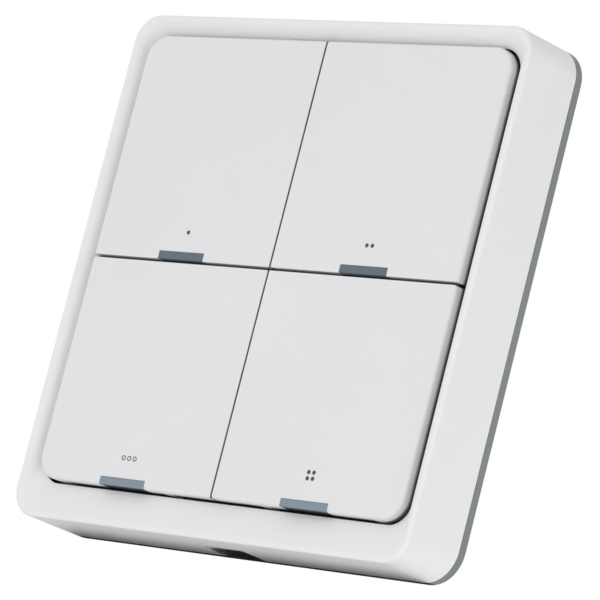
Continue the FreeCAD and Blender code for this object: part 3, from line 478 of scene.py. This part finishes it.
whitePlastic = mouldedPlastic("whitePlastic", {
    "dark": (0.775, 0.775, 0.785), "light": (0.80, 0.80, 0.808), "gloss": (0.46, 0.54),
    "specular": 0.4, "cloudScale": 22, "grainScale": 5200, "grain": 0.22})
greyPlastic = mouldedPlastic("greyPlastic", {
    "dark": (0.195, 0.213, 0.218), "light": (0.222, 0.240, 0.245), "gloss": (0.50, 0.62),
    "specular": 0.4, "cloudScale": 30, "grainScale": 3800, "grain": 0.45})
darkPlastic = mouldedPlastic("darkPlastic", {
    "dark": (0.010, 0.010, 0.011), "light": (0.016, 0.016, 0.017), "gloss": (0.5, 0.6),
    "specular": 0.3, "cloudScale": 30, "grainScale": 3800, "grain": 0.45})
printInk = mouldedPlastic("printInk", {
    "dark": (0.06, 0.06, 0.066), "light": (0.09, 0.09, 0.096), "gloss": (0.5, 0.6),
    "specular": 0.3, "cloudScale": 400, "grainScale": 6000, "grain": 0.2})
keyPlastic = makeKeyPlastic()
windowPlastic = makeWindowPlastic()
lidPlastic = mouldedPlastic("lidPlastic", {
    "dark": (0.030, 0.032, 0.034), "light": (0.042, 0.044, 0.047), "gloss": (0.48, 0.6),
    "specular": 0.4, "cloudScale": 30, "grainScale": 3400, "grain": 0.5})
chipEpoxy = mouldedPlastic("chipEpoxy", {
    "dark": (0.014, 0.014, 0.016), "light": (0.024, 0.024, 0.026), "gloss": (0.38, 0.5),
    "specular": 0.5, "cloudScale": 400, "grainScale": 9000, "grain": 0.5})
ferrite = mouldedPlastic("ferrite", {
    "dark": (0.040, 0.040, 0.043), "light": (0.075, 0.074, 0.074), "gloss": (0.5, 0.7),
    "specular": 0.4, "cloudScale": 900, "grainScale": 6000, "grain": 0.8})
plungerPlastic = mouldedPlastic("plungerPlastic", {
    "dark": (0.62, 0.61, 0.57), "light": (0.68, 0.67, 0.63), "gloss": (0.35, 0.45),
    "specular": 0.5, "cloudScale": 300, "grainScale": 6000, "grain": 0.2})
lampResin = mouldedPlastic("lampResin", {
    "dark": (0.72, 0.68, 0.42), "light": (0.80, 0.76, 0.50), "gloss": (0.15, 0.25),
    "specular": 0.5, "cloudScale": 900, "grainScale": 9000, "grain": 0.1})
brightSteel = sheetMetal("brightSteel", {
    "dark": (0.52, 0.52, 0.50), "light": (0.62, 0.62, 0.60), "gloss": (0.22, 0.38), "stretch": (1, 1, 14),
    "scratchScale": 900, "cloudScale": 80, "grain": 0.25})
springSteel = sheetMetal("springSteel", {
    "dark": (0.46, 0.45, 0.42), "light": (0.56, 0.55, 0.52), "gloss": (0.26, 0.42), "stretch": (14, 1, 1),
    "scratchScale": 900, "cloudScale": 120, "grain": 0.3})
copperWire = sheetMetal("copperWire", {
    "dark": (0.55, 0.24, 0.12), "light": (0.66, 0.31, 0.17), "gloss": (0.25, 0.36), "stretch": (1, 1, 1),
    "scratchScale": 3000, "cloudScale": 900, "grain": 0.1})
# patch and pitch in millimetres; turned and ground are the shares of patches with tracks up and with none
tracksLook = {
    "trackEdge": (0.62, 0.70), "turned": 0.5, "ground": 0.35, "cloudScale": 60, "gloss": (0.28, 0.40),
    "relief": 0.35, "uneven": 0.6}
boardLaminate = makeBoard("boardLaminate", {
    "mask": (0.012, 0.075, 0.035), "copper": (0.030, 0.135, 0.060), "patch": 7.0, "pitch": 0.9, **tracksLook})
radioLaminate = makeBoard("radioLaminate", {
    "mask": (0.010, 0.018, 0.050), "copper": (0.022, 0.038, 0.090), "patch": 3.0, "pitch": 0.6, **tracksLook})
foamTape = makeFoam({
    "dark": (0.60, 0.60, 0.58), "light": (0.70, 0.70, 0.68), "gloss": (0.78, 0.92),
    "cellScale": 2600, "cloudScale": 90, "relief": 0.5})
capacitorCeramic = makeCapacitorBody({"middle": 18.5, "bare": (0.60, 0.66), "tin": (0.62, 0.61, 0.58)})
print("materials ready")


# housing: deep frame with a crisp ridge, a rim that falls to the keys, and screw posts
housing = {
    "half": 43.0, "corner": 5.5, "backDepth": 1.6,
    "lean": 0.24, "wallFront": 12.65, "frontCorner": 4.7, "ridgeRound": 0.45, "ridgeSteps": 5,
    "rimStart": 42.0, "rimDrop": 2.15, "rimSteps": 12,
    "rimCurve": (1.4, 1.4, 1.08, 1.15),                    # hollow at left, right, foot, top; 1 is straight
    "opening": (-39.8, 39.8, -36.57, 39.6, 4.45), "lip": 0.35, "undercut": 0.9, "rimBack": 10.1,
    "wall": (-41.2, 41.2, -41.2, 41.2, 3.7), "cornerSteps": 14,
    "post": {"spot": (38.8, 22.0), "radius": 2.8, "bore": 0.9, "chamfer": 0.2, "back": 6.9, "front": 9.2,
             "deep": 2.0, "sides": 40},
    "notch": {"back": 4.5, "front": 4.3, "depth": 5.6, "over": 1, "high": 5},
}


def ringTo(piece, old, new, forward):
    # carries the picked front face on to a new outline, each side moved by itself
    bpy.ops.mesh.extrude_region_move(TRANSFORM_OT_translate={"value": (0, -forward * mm, 0)})
    ring = pickedVerts(piece)
    moves = ((lambda p: p.x < 0, (new[0] - old[0], 0, 0)), (lambda p: p.x > 0, (new[1] - old[1], 0, 0)),
             (lambda p: p.z < 0, (0, 0, new[2] - old[2])), (lambda p: p.z > 0, (0, 0, new[3] - old[3])))
    for side, move in moves:
        pickVerts(piece, side, ring)
        bpy.ops.transform.translate(value=[mm * part for part in move])
    pickVerts(piece, lambda p: True, ring)


def sharpenCorners(piece, inset, radius, wanted):
    # the picked ring's four corner arcs take a smaller radius, with the sides left where they are
    ring, middle = pickedVerts(piece), housing["half"] - inset - radius
    for x, z in ((-1, -1), (1, -1), (-1, 1), (1, 1)):
        pickVerts(piece, lambda p: p.x * x > 0 and p.z * z > 0, ring)
        bpy.ops.transform.resize(value=(wanted / radius, 1, wanted / radius),
                                 center_override=(middle * x * mm, 0, middle * z * mm))
        bpy.ops.transform.translate(value=((radius - wanted) * x * mm, 0, (radius - wanted) * z * mm))
    pickVerts(piece, lambda p: True, ring)


def makeFront():
    # outer wall, round ridge, hollow rim and lip, ring by ring from the back edge
    half, corner = housing["half"], housing["corner"]
    shell = startPlate("housing_shell", (-half, half, -half, half, corner), housing["backDepth"],
                       housing["cornerSteps"])
    step(housing["lean"], housing["wallFront"] - housing["backDepth"])
    bpy.ops.mesh.select_mode(type="VERT")
    sharpenCorners(shell, housing["lean"], corner - housing["lean"], housing["frontCorner"])
    bpy.ops.mesh.select_mode(type="FACE")
    roundRim(housing["ridgeRound"], housing["ridgeSteps"])
    crest = half - housing["lean"] - housing["ridgeRound"]
    step(crest - housing["rimStart"], 0)
    bpy.ops.mesh.select_mode(type="VERT")
    start = [-housing["rimStart"], housing["rimStart"], -housing["rimStart"], housing["rimStart"]]
    last, fallen = start, 0
    hollow = max(housing["rimCurve"])
    for n in range(1, housing["rimSteps"] + 1):
        part = n / housing["rimSteps"]
        outline = [a + (b - a) * part ** (hollow / curve)
                   for a, b, curve in zip(start, housing["opening"], housing["rimCurve"])]
        fall = housing["rimDrop"] * part ** hollow
        ringTo(shell, last, outline, fallen - fall)
        last, fallen = outline, fall
    ringTo(shell, last, last, -housing["lip"])
    wide = [a + housing["undercut"] * (1 if a > 0 else -1) for a in last]
    lipEnd = housing["wallFront"] + housing["ridgeRound"] - housing["rimDrop"] - housing["lip"]
    ringTo(shell, last, wide, housing["rimBack"] - lipEnd)
    bpy.ops.mesh.select_mode(type="FACE")
    bpy.ops.mesh.delete(type="ONLY_FACE")
    editMode(False)
    return shell


def makeInside():
    # the pocket behind the rim, drawn from the back edge forwards
    inside = startPlate("housing_inside", housing["wall"], housing["backDepth"], housing["cornerSteps"])
    step(0, housing["rimBack"] - housing["backDepth"])
    bpy.ops.mesh.delete(type="ONLY_FACE")
    bpy.ops.mesh.select_all(action="SELECT")
    bpy.ops.mesh.flip_normals()
    editMode(False)
    return inside


def closeRing(piece, depth):
    # bridges the two open loops that lie at this depth
    near = 0.01 * mm
    bpy.ops.mesh.select_mode(type="EDGE")
    mesh = bmesh.from_edit_mesh(piece.data)
    for edge in mesh.edges:
        edge.select = edge.is_boundary and all(abs(vert.co.y + depth * mm) < near for vert in edge.verts)
    mesh.select_flush_mode()
    bmesh.update_edit_mesh(piece.data)
    bpy.ops.mesh.bridge_edge_loops()


def makePosts():
    # four screw posts, each with a chamfered bore from the back
    post = housing["post"]
    posts = []
    for x in (-post["spot"][0], post["spot"][0]):
        for z in (-post["spot"][1], post["spot"][1]):
            item = startDisc("post", (x, z), post["radius"], post["back"], post["front"], post["sides"])
            pickEnd(item, 1)
            step(post["radius"] - post["bore"] - post["chamfer"], 0)
            step(post["chamfer"], -post["chamfer"])
            bore = (post["chamfer"] - post["deep"]) * mm
            bpy.ops.mesh.extrude_region_move(TRANSFORM_OT_translate={"value": (0, bore, 0)})
            editMode(False)
            posts.append(item)
    return joinPieces(*posts)


def makeNotchCutter():
    # the pry notch, a wedge that widens towards the wall
    notch = housing["notch"]
    selectNothing()
    low, high = housing["backDepth"] - notch["over"], housing["backDepth"] + notch["depth"]
    bpy.ops.mesh.primitive_cube_add(size=mm, location=(0, -(low + high) / 2 * mm, -housing["half"] * mm))
    cutter = bpy.context.object
    cutter.scale = (notch["back"] * 2, high - low, notch["high"])
    bpy.ops.object.transform_apply(location=True, rotation=True, scale=True)
    editMode(True)
    bpy.ops.mesh.select_mode(type="VERT")
    bpy.ops.mesh.select_all(action="DESELECT")
    pickVerts(cutter, lambda p: p.y < -(low + high) / 2)
    bpy.ops.transform.resize(value=(notch["front"] / notch["back"], 1, 1))
    editMode(False)
    return cutter


def makeHousing():
    body = joinPieces(makeFront(), makeInside())
    editMode(True)
    closeRing(body, housing["rimBack"])
    closeRing(body, housing["backDepth"])
    editMode(False)
    cutWith(body, makePosts(), "UNION")
    cutWith(body, makeNotchCutter(), "DIFFERENCE")
    body.name = body.data.name = "wall_housing"
    finishPiece(body, whitePlastic, "front_unit")
    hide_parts("housing")


# finish of each kind of node, and how far its edges are broken, in millimetres. 0 leaves the mesh as packed
dressing = {
    "key": (keyPlastic, 0), "key_frame": (darkPlastic, 0), "housing": (whitePlastic, 0),
    "base_plate": (greyPlastic, 0.15), "rear_cover": (lidPlastic, 0.12), "adhesive_pad": (foamTape, 0.08),
    "light_guide": (windowPlastic, 0.07), "circuit_board": (boardLaminate, 0),
    "case_screws": (brightSteel, 0.08),
    "radio_board": (radioLaminate, 0), "radio_shield": (brightSteel, 0), "controller_chip": (chipEpoxy, 0),
    "power_inductor": (ferrite, 0), "crystal": (brightSteel, 0), "chip_capacitors": (capacitorCeramic, 0.06),
    "coin_cell": (brightSteel, 0), "cell_holder": (darkPlastic, 0.12), "cell_clip": (springSteel, 0.06),
    "cell_contact": (springSteel, 0.06), "switch_body": (chipEpoxy, 0.1), "switch_cover": (springSteel, 0.03),
    "switch_plunger": (plungerPlastic, 0.15), "led": (lampResin, 0),
}


def kindOf(name):
    # a node's name without its number
    return name if name in dressing else name.rsplit("_", 1)[0]


def standFor(name, piece):
    # finishes the piece as its node's kind, and puts it in the node's place
    finishPiece(piece, dressing[kindOf(name)][0], nodes[name]["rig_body"])
    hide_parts(name)


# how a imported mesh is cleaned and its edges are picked: millimetres, and degrees between faces
edgeWork = {"weld": 0.001, "flatUnder": 0.5, "sharpOver": 35, "steps": 2}


def breakEdges(name, width):
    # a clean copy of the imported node, its edges rounded as moulded or pressed
    piece = bpy.data.objects.new(name + "_finished", nodes[name].data.copy())
    bpy.context.scene.collection.objects.link(piece)
    selectOnly(piece)
    editMode(True)
    bpy.ops.mesh.select_mode(type="VERT")
    bpy.ops.mesh.select_all(action="SELECT")
    bpy.ops.mesh.remove_doubles(threshold=edgeWork["weld"] * mm)
    bpy.ops.mesh.customdata_custom_splitnormals_clear()
    bpy.ops.mesh.dissolve_limited(angle_limit=math.radians(edgeWork["flatUnder"]))
    editMode(False)
    applyModifier(piece, "BEVEL", width=width * mm, segments=edgeWork["steps"], limit_method="ANGLE",
                  angle_limit=math.radians(edgeWork["sharpOver"]), use_clamp_overlap=True)
    standFor(name, piece)


for name, node in nodes.items():
    finish, width = dressing[kindOf(name)]
    node.data.materials.clear()
    node.data.materials.append(finish)
    if width:
        breakEdges(name, width)
print("packed nodes dressed")

makeHousing()
print("housing ready")


# coin cells: cans with a crimped rim. stamp and seal are steps inwards and outwards, in millimetres
coinCell = {
    "spot": (19.765, 20.4), "radius": 12.25, "back": 2.6, "front": 5.6, "round": 0.3, "crimp": 0.4,
    "cap": 0.35, "capRound": 0.2,
    "stamp": ((0.9, 0), (0.15, -0.06), (0.5, 0), (0.15, 0.06)),     # ring pressed into the plus side
    "seal": ((0.25, 0), (0.08, -0.3), (0.45, 0), (0.12, 0.45)),     # groove with the seal, round the cap
}


def makeCoinCell(name, x):
    cell = coinCell
    piece = startDisc(name + "_can", (x, cell["spot"][1]), cell["radius"], cell["back"] + cell["round"],
                      cell["front"] - cell["cap"] - cell["crimp"])
    pickEnd(piece, 1)
    roundRim(cell["round"])
    for move in cell["stamp"]:
        step(*move)
    editMode(False)
    pickEnd(piece, -1)
    roundRim(cell["crimp"])
    for move in cell["seal"]:
        step(*move)
    roundRim(cell["capRound"])
    editMode(False)
    standFor(name, piece)


# power inductor: a drum between two flanges, with its winding as rings of wire
inductor = {
    "spot": (25.0, -22.0), "radius": 2.9, "back": 3.7, "front": 5.9, "flange": 0.5, "round": 0.15,
    "waist": 2.2, "hollow": ((0.7, 0), (0.1, -0.12)), "sides": 64, "wire": 0.11, "turns": 5, "coil": 2.32,
    "wireSides": 10,
}


def makeDrum():
    drum = inductor
    piece = startDisc("inductor_drum", drum["spot"], drum["radius"], drum["back"] + drum["round"],
                      drum["back"] + drum["flange"], drum["sides"])
    pickEnd(piece, 1)
    roundRim(drum["round"])
    for move in drum["hollow"]:
        step(*move)
    editMode(False)
    foot = startDisc("drum_foot", drum["spot"], drum["radius"], drum["front"] - drum["flange"],
                     drum["front"], drum["sides"])
    waist = startDisc("drum_waist", drum["spot"], drum["waist"], drum["back"] + drum["flange"] / 2,
                      drum["front"] - drum["flange"] / 2, drum["sides"])
    cutWith(piece, waist, "UNION")
    cutWith(piece, foot, "UNION")
    standFor("power_inductor", piece)


def makeWinding():
    drum = inductor
    turns = []
    low = drum["back"] + drum["flange"] + drum["wire"]
    pitch = (drum["front"] - drum["back"] - 2 * drum["flange"] - 2 * drum["wire"]) / (drum["turns"] - 1)
    for n in range(drum["turns"]):
        selectNothing()
        bpy.ops.mesh.primitive_torus_add(
            major_radius=drum["coil"] * mm, minor_radius=drum["wire"] * mm,
            major_segments=drum["sides"], minor_segments=drum["wireSides"], rotation=(math.pi / 2, 0, 0),
            location=(drum["spot"][0] * mm, -(low + pitch * n) * mm, drum["spot"][1] * mm))
        bpy.ops.object.transform_apply(location=True, rotation=True, scale=True)
        turns.append(bpy.context.object)
    coil = joinPieces(*turns)
    coil.name = coil.data.name = "inductor_winding"
    finishPiece(coil, copperWire, nodes["power_inductor"]["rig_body"])


makeCoinCell("coin_cell_1", -coinCell["spot"][0])
makeCoinCell("coin_cell_2", coinCell["spot"][0])
makeDrum()
makeWinding()
print("coin cells and inductor ready")


# small parts on the board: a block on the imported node's footprint, then steps inwards and outwards.
# way is 1 on the board's back and -1 on its front, and press is what is stamped into the finished end.
# corner stays wider than all the inward steps together, or the corners would fold over
smallParts = {
    "radio_board": {"way": 1, "corner": 0.3, "moves": ((0, 0.03),), "round": 0.04, "press": ()},
    "radio_shield": {"way": 1, "corner": 0.8, "moves": ((0, 0.1),), "round": 0.25,
                     "press": ((0.4, 0), (0.1, -0.1))},
    "controller_chip": {"way": 1, "corner": 0.14, "moves": ((0.06, 0.2),), "round": 0.06, "press": ()},
    "crystal": {"way": 1, "corner": 0.4, "moves": ((0.2, 0), (0.02, 0.4)), "round": 0.15, "press": ()},
    "led": {"way": -1, "corner": 0.16, "moves": ((0.06, 0), (0.02, 0.1)), "round": 0.06, "press": ()},
}
chipDimple = {"radius": 0.3, "inward": 0.9, "deep": 0.1, "sides": 32}      # marks the chip's first corner
radioPads = {"radius": 0.35, "pitch": 2.0, "count": 10, "sides": 24}       # half-round contacts in its edges
cutOver = 1                                                # how far a cutter stands out of its piece
cornerSteps = 4                                            # steps round each upright corner


def boxOf(name):
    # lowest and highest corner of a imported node, in millimetres
    places = [vert.co / mm for vert in nodes[name].data.vertices]
    return [Vector([pick(place[axis] for place in places) for axis in range(3)]) for pick in (min, max)]


def makeSmallPart(name, shape):
    # the block is shorter than its node by what the steps add, so both end at the same depth
    low, high = boxOf(name)
    rise = sum(up for inward, up in shape["moves"]) + shape["round"]
    size = high - low
    size.y -= rise
    middle = (low + high) / 2
    middle.y -= shape["way"] * rise / 2
    selectNothing()
    bpy.ops.mesh.primitive_cube_add(size=mm, location=middle * mm)
    piece = bpy.context.object
    piece.name = piece.data.name = name + "_part"
    piece.scale = size
    bpy.ops.object.transform_apply(location=True, rotation=True, scale=True)
    editMode(True)
    bpy.ops.mesh.select_mode(type="EDGE")
    mesh = bmesh.from_edit_mesh(piece.data)
    for edge in mesh.edges:
        first, second = edge.verts
        edge.select = abs(first.co.y - second.co.y) > size.y / 2 * mm      # the four upright edges
    bmesh.update_edit_mesh(piece.data)
    bpy.ops.mesh.bevel(offset=shape["corner"] * mm, segments=cornerSteps)
    pickEnd(piece, shape["way"])
    for move in shape["moves"]:
        step(*move)
    roundRim(shape["round"])
    for move in shape["press"]:
        step(*move)
    editMode(False)
    return piece


def cutDimple(piece):
    low, high = boxOf("controller_chip")
    spot = (low.x + chipDimple["inward"], high.z - chipDimple["inward"])
    bore = startDisc("dimple", spot, chipDimple["radius"], -high.y - cutOver, -high.y + chipDimple["deep"],
                     chipDimple["sides"])
    cutWith(piece, bore, "DIFFERENCE")


def cutPads(piece):
    low, high = boxOf("radio_board")
    start = (low.z + high.z) / 2 - radioPads["pitch"] * (radioPads["count"] - 1) / 2
    bores = []
    for x in (low.x, high.x):
        for n in range(radioPads["count"]):
            bores.append(startDisc("pad", (x, start + radioPads["pitch"] * n), radioPads["radius"],
                                   -high.y - cutOver, -low.y + cutOver, radioPads["sides"]))
    cutWith(piece, joinPieces(*bores), "DIFFERENCE")


for name in nodes:
    if kindOf(name) in smallParts:
        part = makeSmallPart(name, smallParts[kindOf(name)])
        if name == "controller_chip":
            cutDimple(part)
        elif name == "radio_board":
            cutPads(part)
        standFor(name, part)
print("small parts ready")


# printed marks above each light: one dot, two dots, three rings, four dots
marks = {
    "depth": 12.8, "lift": 0.001, "thick": 0.02, "dot": 0.35, "ring": 0.42, "line": 0.15, "sides": 32,
    "rings": ("key_3",),
    "spots": {
        "key_1": ((-19.39, 6.28),),
        "key_2": ((19.29, 6.30), (20.44, 6.30)),
        "key_3": ((-20.72, -31.46), (-19.50, -31.46), (-18.28, -31.46)),
        "key_4": ((19.17, -30.25), (20.26, -30.25), (19.17, -31.24), (20.26, -31.24)),
    },
}


def makeMark(key, spots):
    dots = []
    ring = key in marks["rings"]
    for x, z in spots:
        selectNothing()
        bpy.ops.mesh.primitive_circle_add(
            vertices=marks["sides"], radius=marks["ring" if ring else "dot"] * mm, fill_type="NGON",
            rotation=(math.pi / 2, 0, 0), location=(x * mm, -(marks["depth"] + marks["lift"]) * mm, z * mm))
        dot = bpy.context.object
        bpy.ops.object.transform_apply(location=True, rotation=True, scale=True)
        editMode(True)
        bpy.ops.mesh.select_mode(type="FACE")
        bpy.ops.mesh.select_all(action="SELECT")
        if ring:
            step(marks["line"], 0)
            bpy.ops.mesh.delete(type="FACE")
            bpy.ops.mesh.select_all(action="SELECT")
        bpy.ops.mesh.extrude_region_move(TRANSFORM_OT_translate={"value": (0, -marks["thick"] * mm, 0)})
        bpy.ops.mesh.select_all(action="SELECT")
        bpy.ops.mesh.normals_make_consistent(inside=False)
        editMode(False)
        dots.append(dot)
    mark = joinPieces(*dots)
    mark.name = mark.data.name = "printed_mark_" + key[-1]
    finishPiece(mark, printInk, key)


for key, spots in marks["spots"].items():
    makeMark(key, spots)
print("printed marks ready")


# studio: pale floor far below, white surroundings, soft lamps all round
studio = {
    "floorDrop": 0.35, "floorSide": 6.0,                   # metres under the switch's middle, and across
    "floorGrey": 0.8, "floorRough": 0.8,
    "ambient": 0.645,                                      # what the surroundings add to the light
    "lamps": {                                             # place in metres, side of the soft box, watts
        "rightLamp": ((0.5, -0.08, -0.2), 0.3, 0.9),
        "leftLamp": ((-0.9, -1.2, 0.5), 0.9, 5.25),
        "topLamp": ((0.0, -0.2, 1.5), 0.9, 1.8),
        "lowFrontLamp": ((0.1, -0.55, -0.28), 0.3, 0.86),
    },
    "cards": {                                             # half the width, then y and z along the card
        "footCard": (38.5, ((0.4, -43.15), (-1.75, -43.15), (-6.3, -47.5))),
        "notchCard": (4.1, ((-1.75, -43.1), (-5.5, -43.1))),
    },
}


def addWorld():
    # the object gets the ambient strength; eye, gloss and clear parts see plain white
    world = bpy.data.worlds.new("studio")
    bpy.context.scene.world = world
    world.use_nodes = True
    tree = world.node_tree
    ground = tree.nodes["Background"]
    ground.inputs["Color"].default_value = (1, 1, 1, 1)
    ground.inputs["Strength"].default_value = studio["ambient"]
    shown = addNode(tree, "ShaderNodeBackground", Strength=1.0)
    shown.inputs["Color"].default_value = (1, 1, 1, 1)
    path = addNode(tree, "ShaderNodeLightPath").outputs
    seen = sumOf(tree, "MAXIMUM", path["Is Camera Ray"], path["Is Glossy Ray"])
    seen = sumOf(tree, "MAXIMUM", seen, path["Is Transmission Ray"])
    blend = addNode(tree, "ShaderNodeMixShader")
    tree.links.new(seen, blend.inputs["Fac"])
    tree.links.new(ground.outputs[0], blend.inputs[1])
    tree.links.new(shown.outputs[0], blend.inputs[2])
    tree.links.new(blend.outputs[0], tree.nodes["World Output"].inputs["Surface"])


def addSoftbox(name, place, size, watts):
    # a square lamp that looks at the switch and isn't seen itself
    light = bpy.data.lights.new(name, "AREA")
    light.shape = "SQUARE"
    light.size = size
    light.energy = watts
    lamp = bpy.data.objects.new(name, light)
    bpy.context.scene.collection.objects.link(lamp)
    lamp.location = place
    lamp.rotation_euler = (-Vector(place)).to_track_quat("-Z", "Y").to_euler()
    lamp.visible_camera = False
    lamp.visible_glossy = False


def addCard(name, half, path):
    # a black card, folded along its path, that keeps light off the foot as a shelf would
    places = [Vector((0, *place)) * mm for place in path]
    selectNothing()
    bpy.ops.mesh.primitive_plane_add(size=mm, location=(places[0] + places[1]) / 2)
    card = bpy.context.object
    card.name = name
    card.scale = (half * 2, (places[1] - places[0]).length / mm, 1)
    bpy.ops.object.transform_apply(location=True, rotation=False, scale=True)
    editMode(True)
    bpy.ops.mesh.select_mode(type="EDGE")
    mesh = bmesh.from_edit_mesh(card.data)
    for edge in mesh.edges:
        edge.select = all(vert.co.y < (places[0].y + places[1].y) / 2 for vert in edge.verts)
    mesh.select_flush_mode()
    bmesh.update_edit_mesh(card.data)
    for before, after in zip(places[1:], places[2:]):
        bpy.ops.mesh.extrude_region_move(TRANSFORM_OT_translate={"value": after - before})
    editMode(False)
    card.data.materials.append(blackCloth)
    card.visible_camera = False


def addFloor():
    selectNothing()
    bpy.ops.mesh.primitive_plane_add(size=studio["floorSide"], location=(0, 0, -studio["floorDrop"]))
    floor = bpy.context.object
    floor.name = "floor"
    material, tree, shader = newMaterial("floorPaint")
    shader.inputs["Base Color"].default_value = (*[studio["floorGrey"]] * 3, 1)
    shader.inputs["Roughness"].default_value = studio["floorRough"]
    floor.data.materials.append(material)


addWorld()
addFloor()
blackCloth = mouldedPlastic("blackCloth", {
    "dark": (0.008, 0.008, 0.008), "light": (0.012, 0.012, 0.012), "gloss": (0.93, 0.97),
    "specular": 0.1, "cloudScale": 30, "grainScale": 3000, "grain": 0.3})
for name, (half, path) in studio["cards"].items():
    addCard(name, half, path)
for name, (place, size, watts) in studio["lamps"].items():
    addSoftbox(name, place, size, watts)
bpy.context.scene.view_settings.view_transform = "Standard"

print("scene ready")
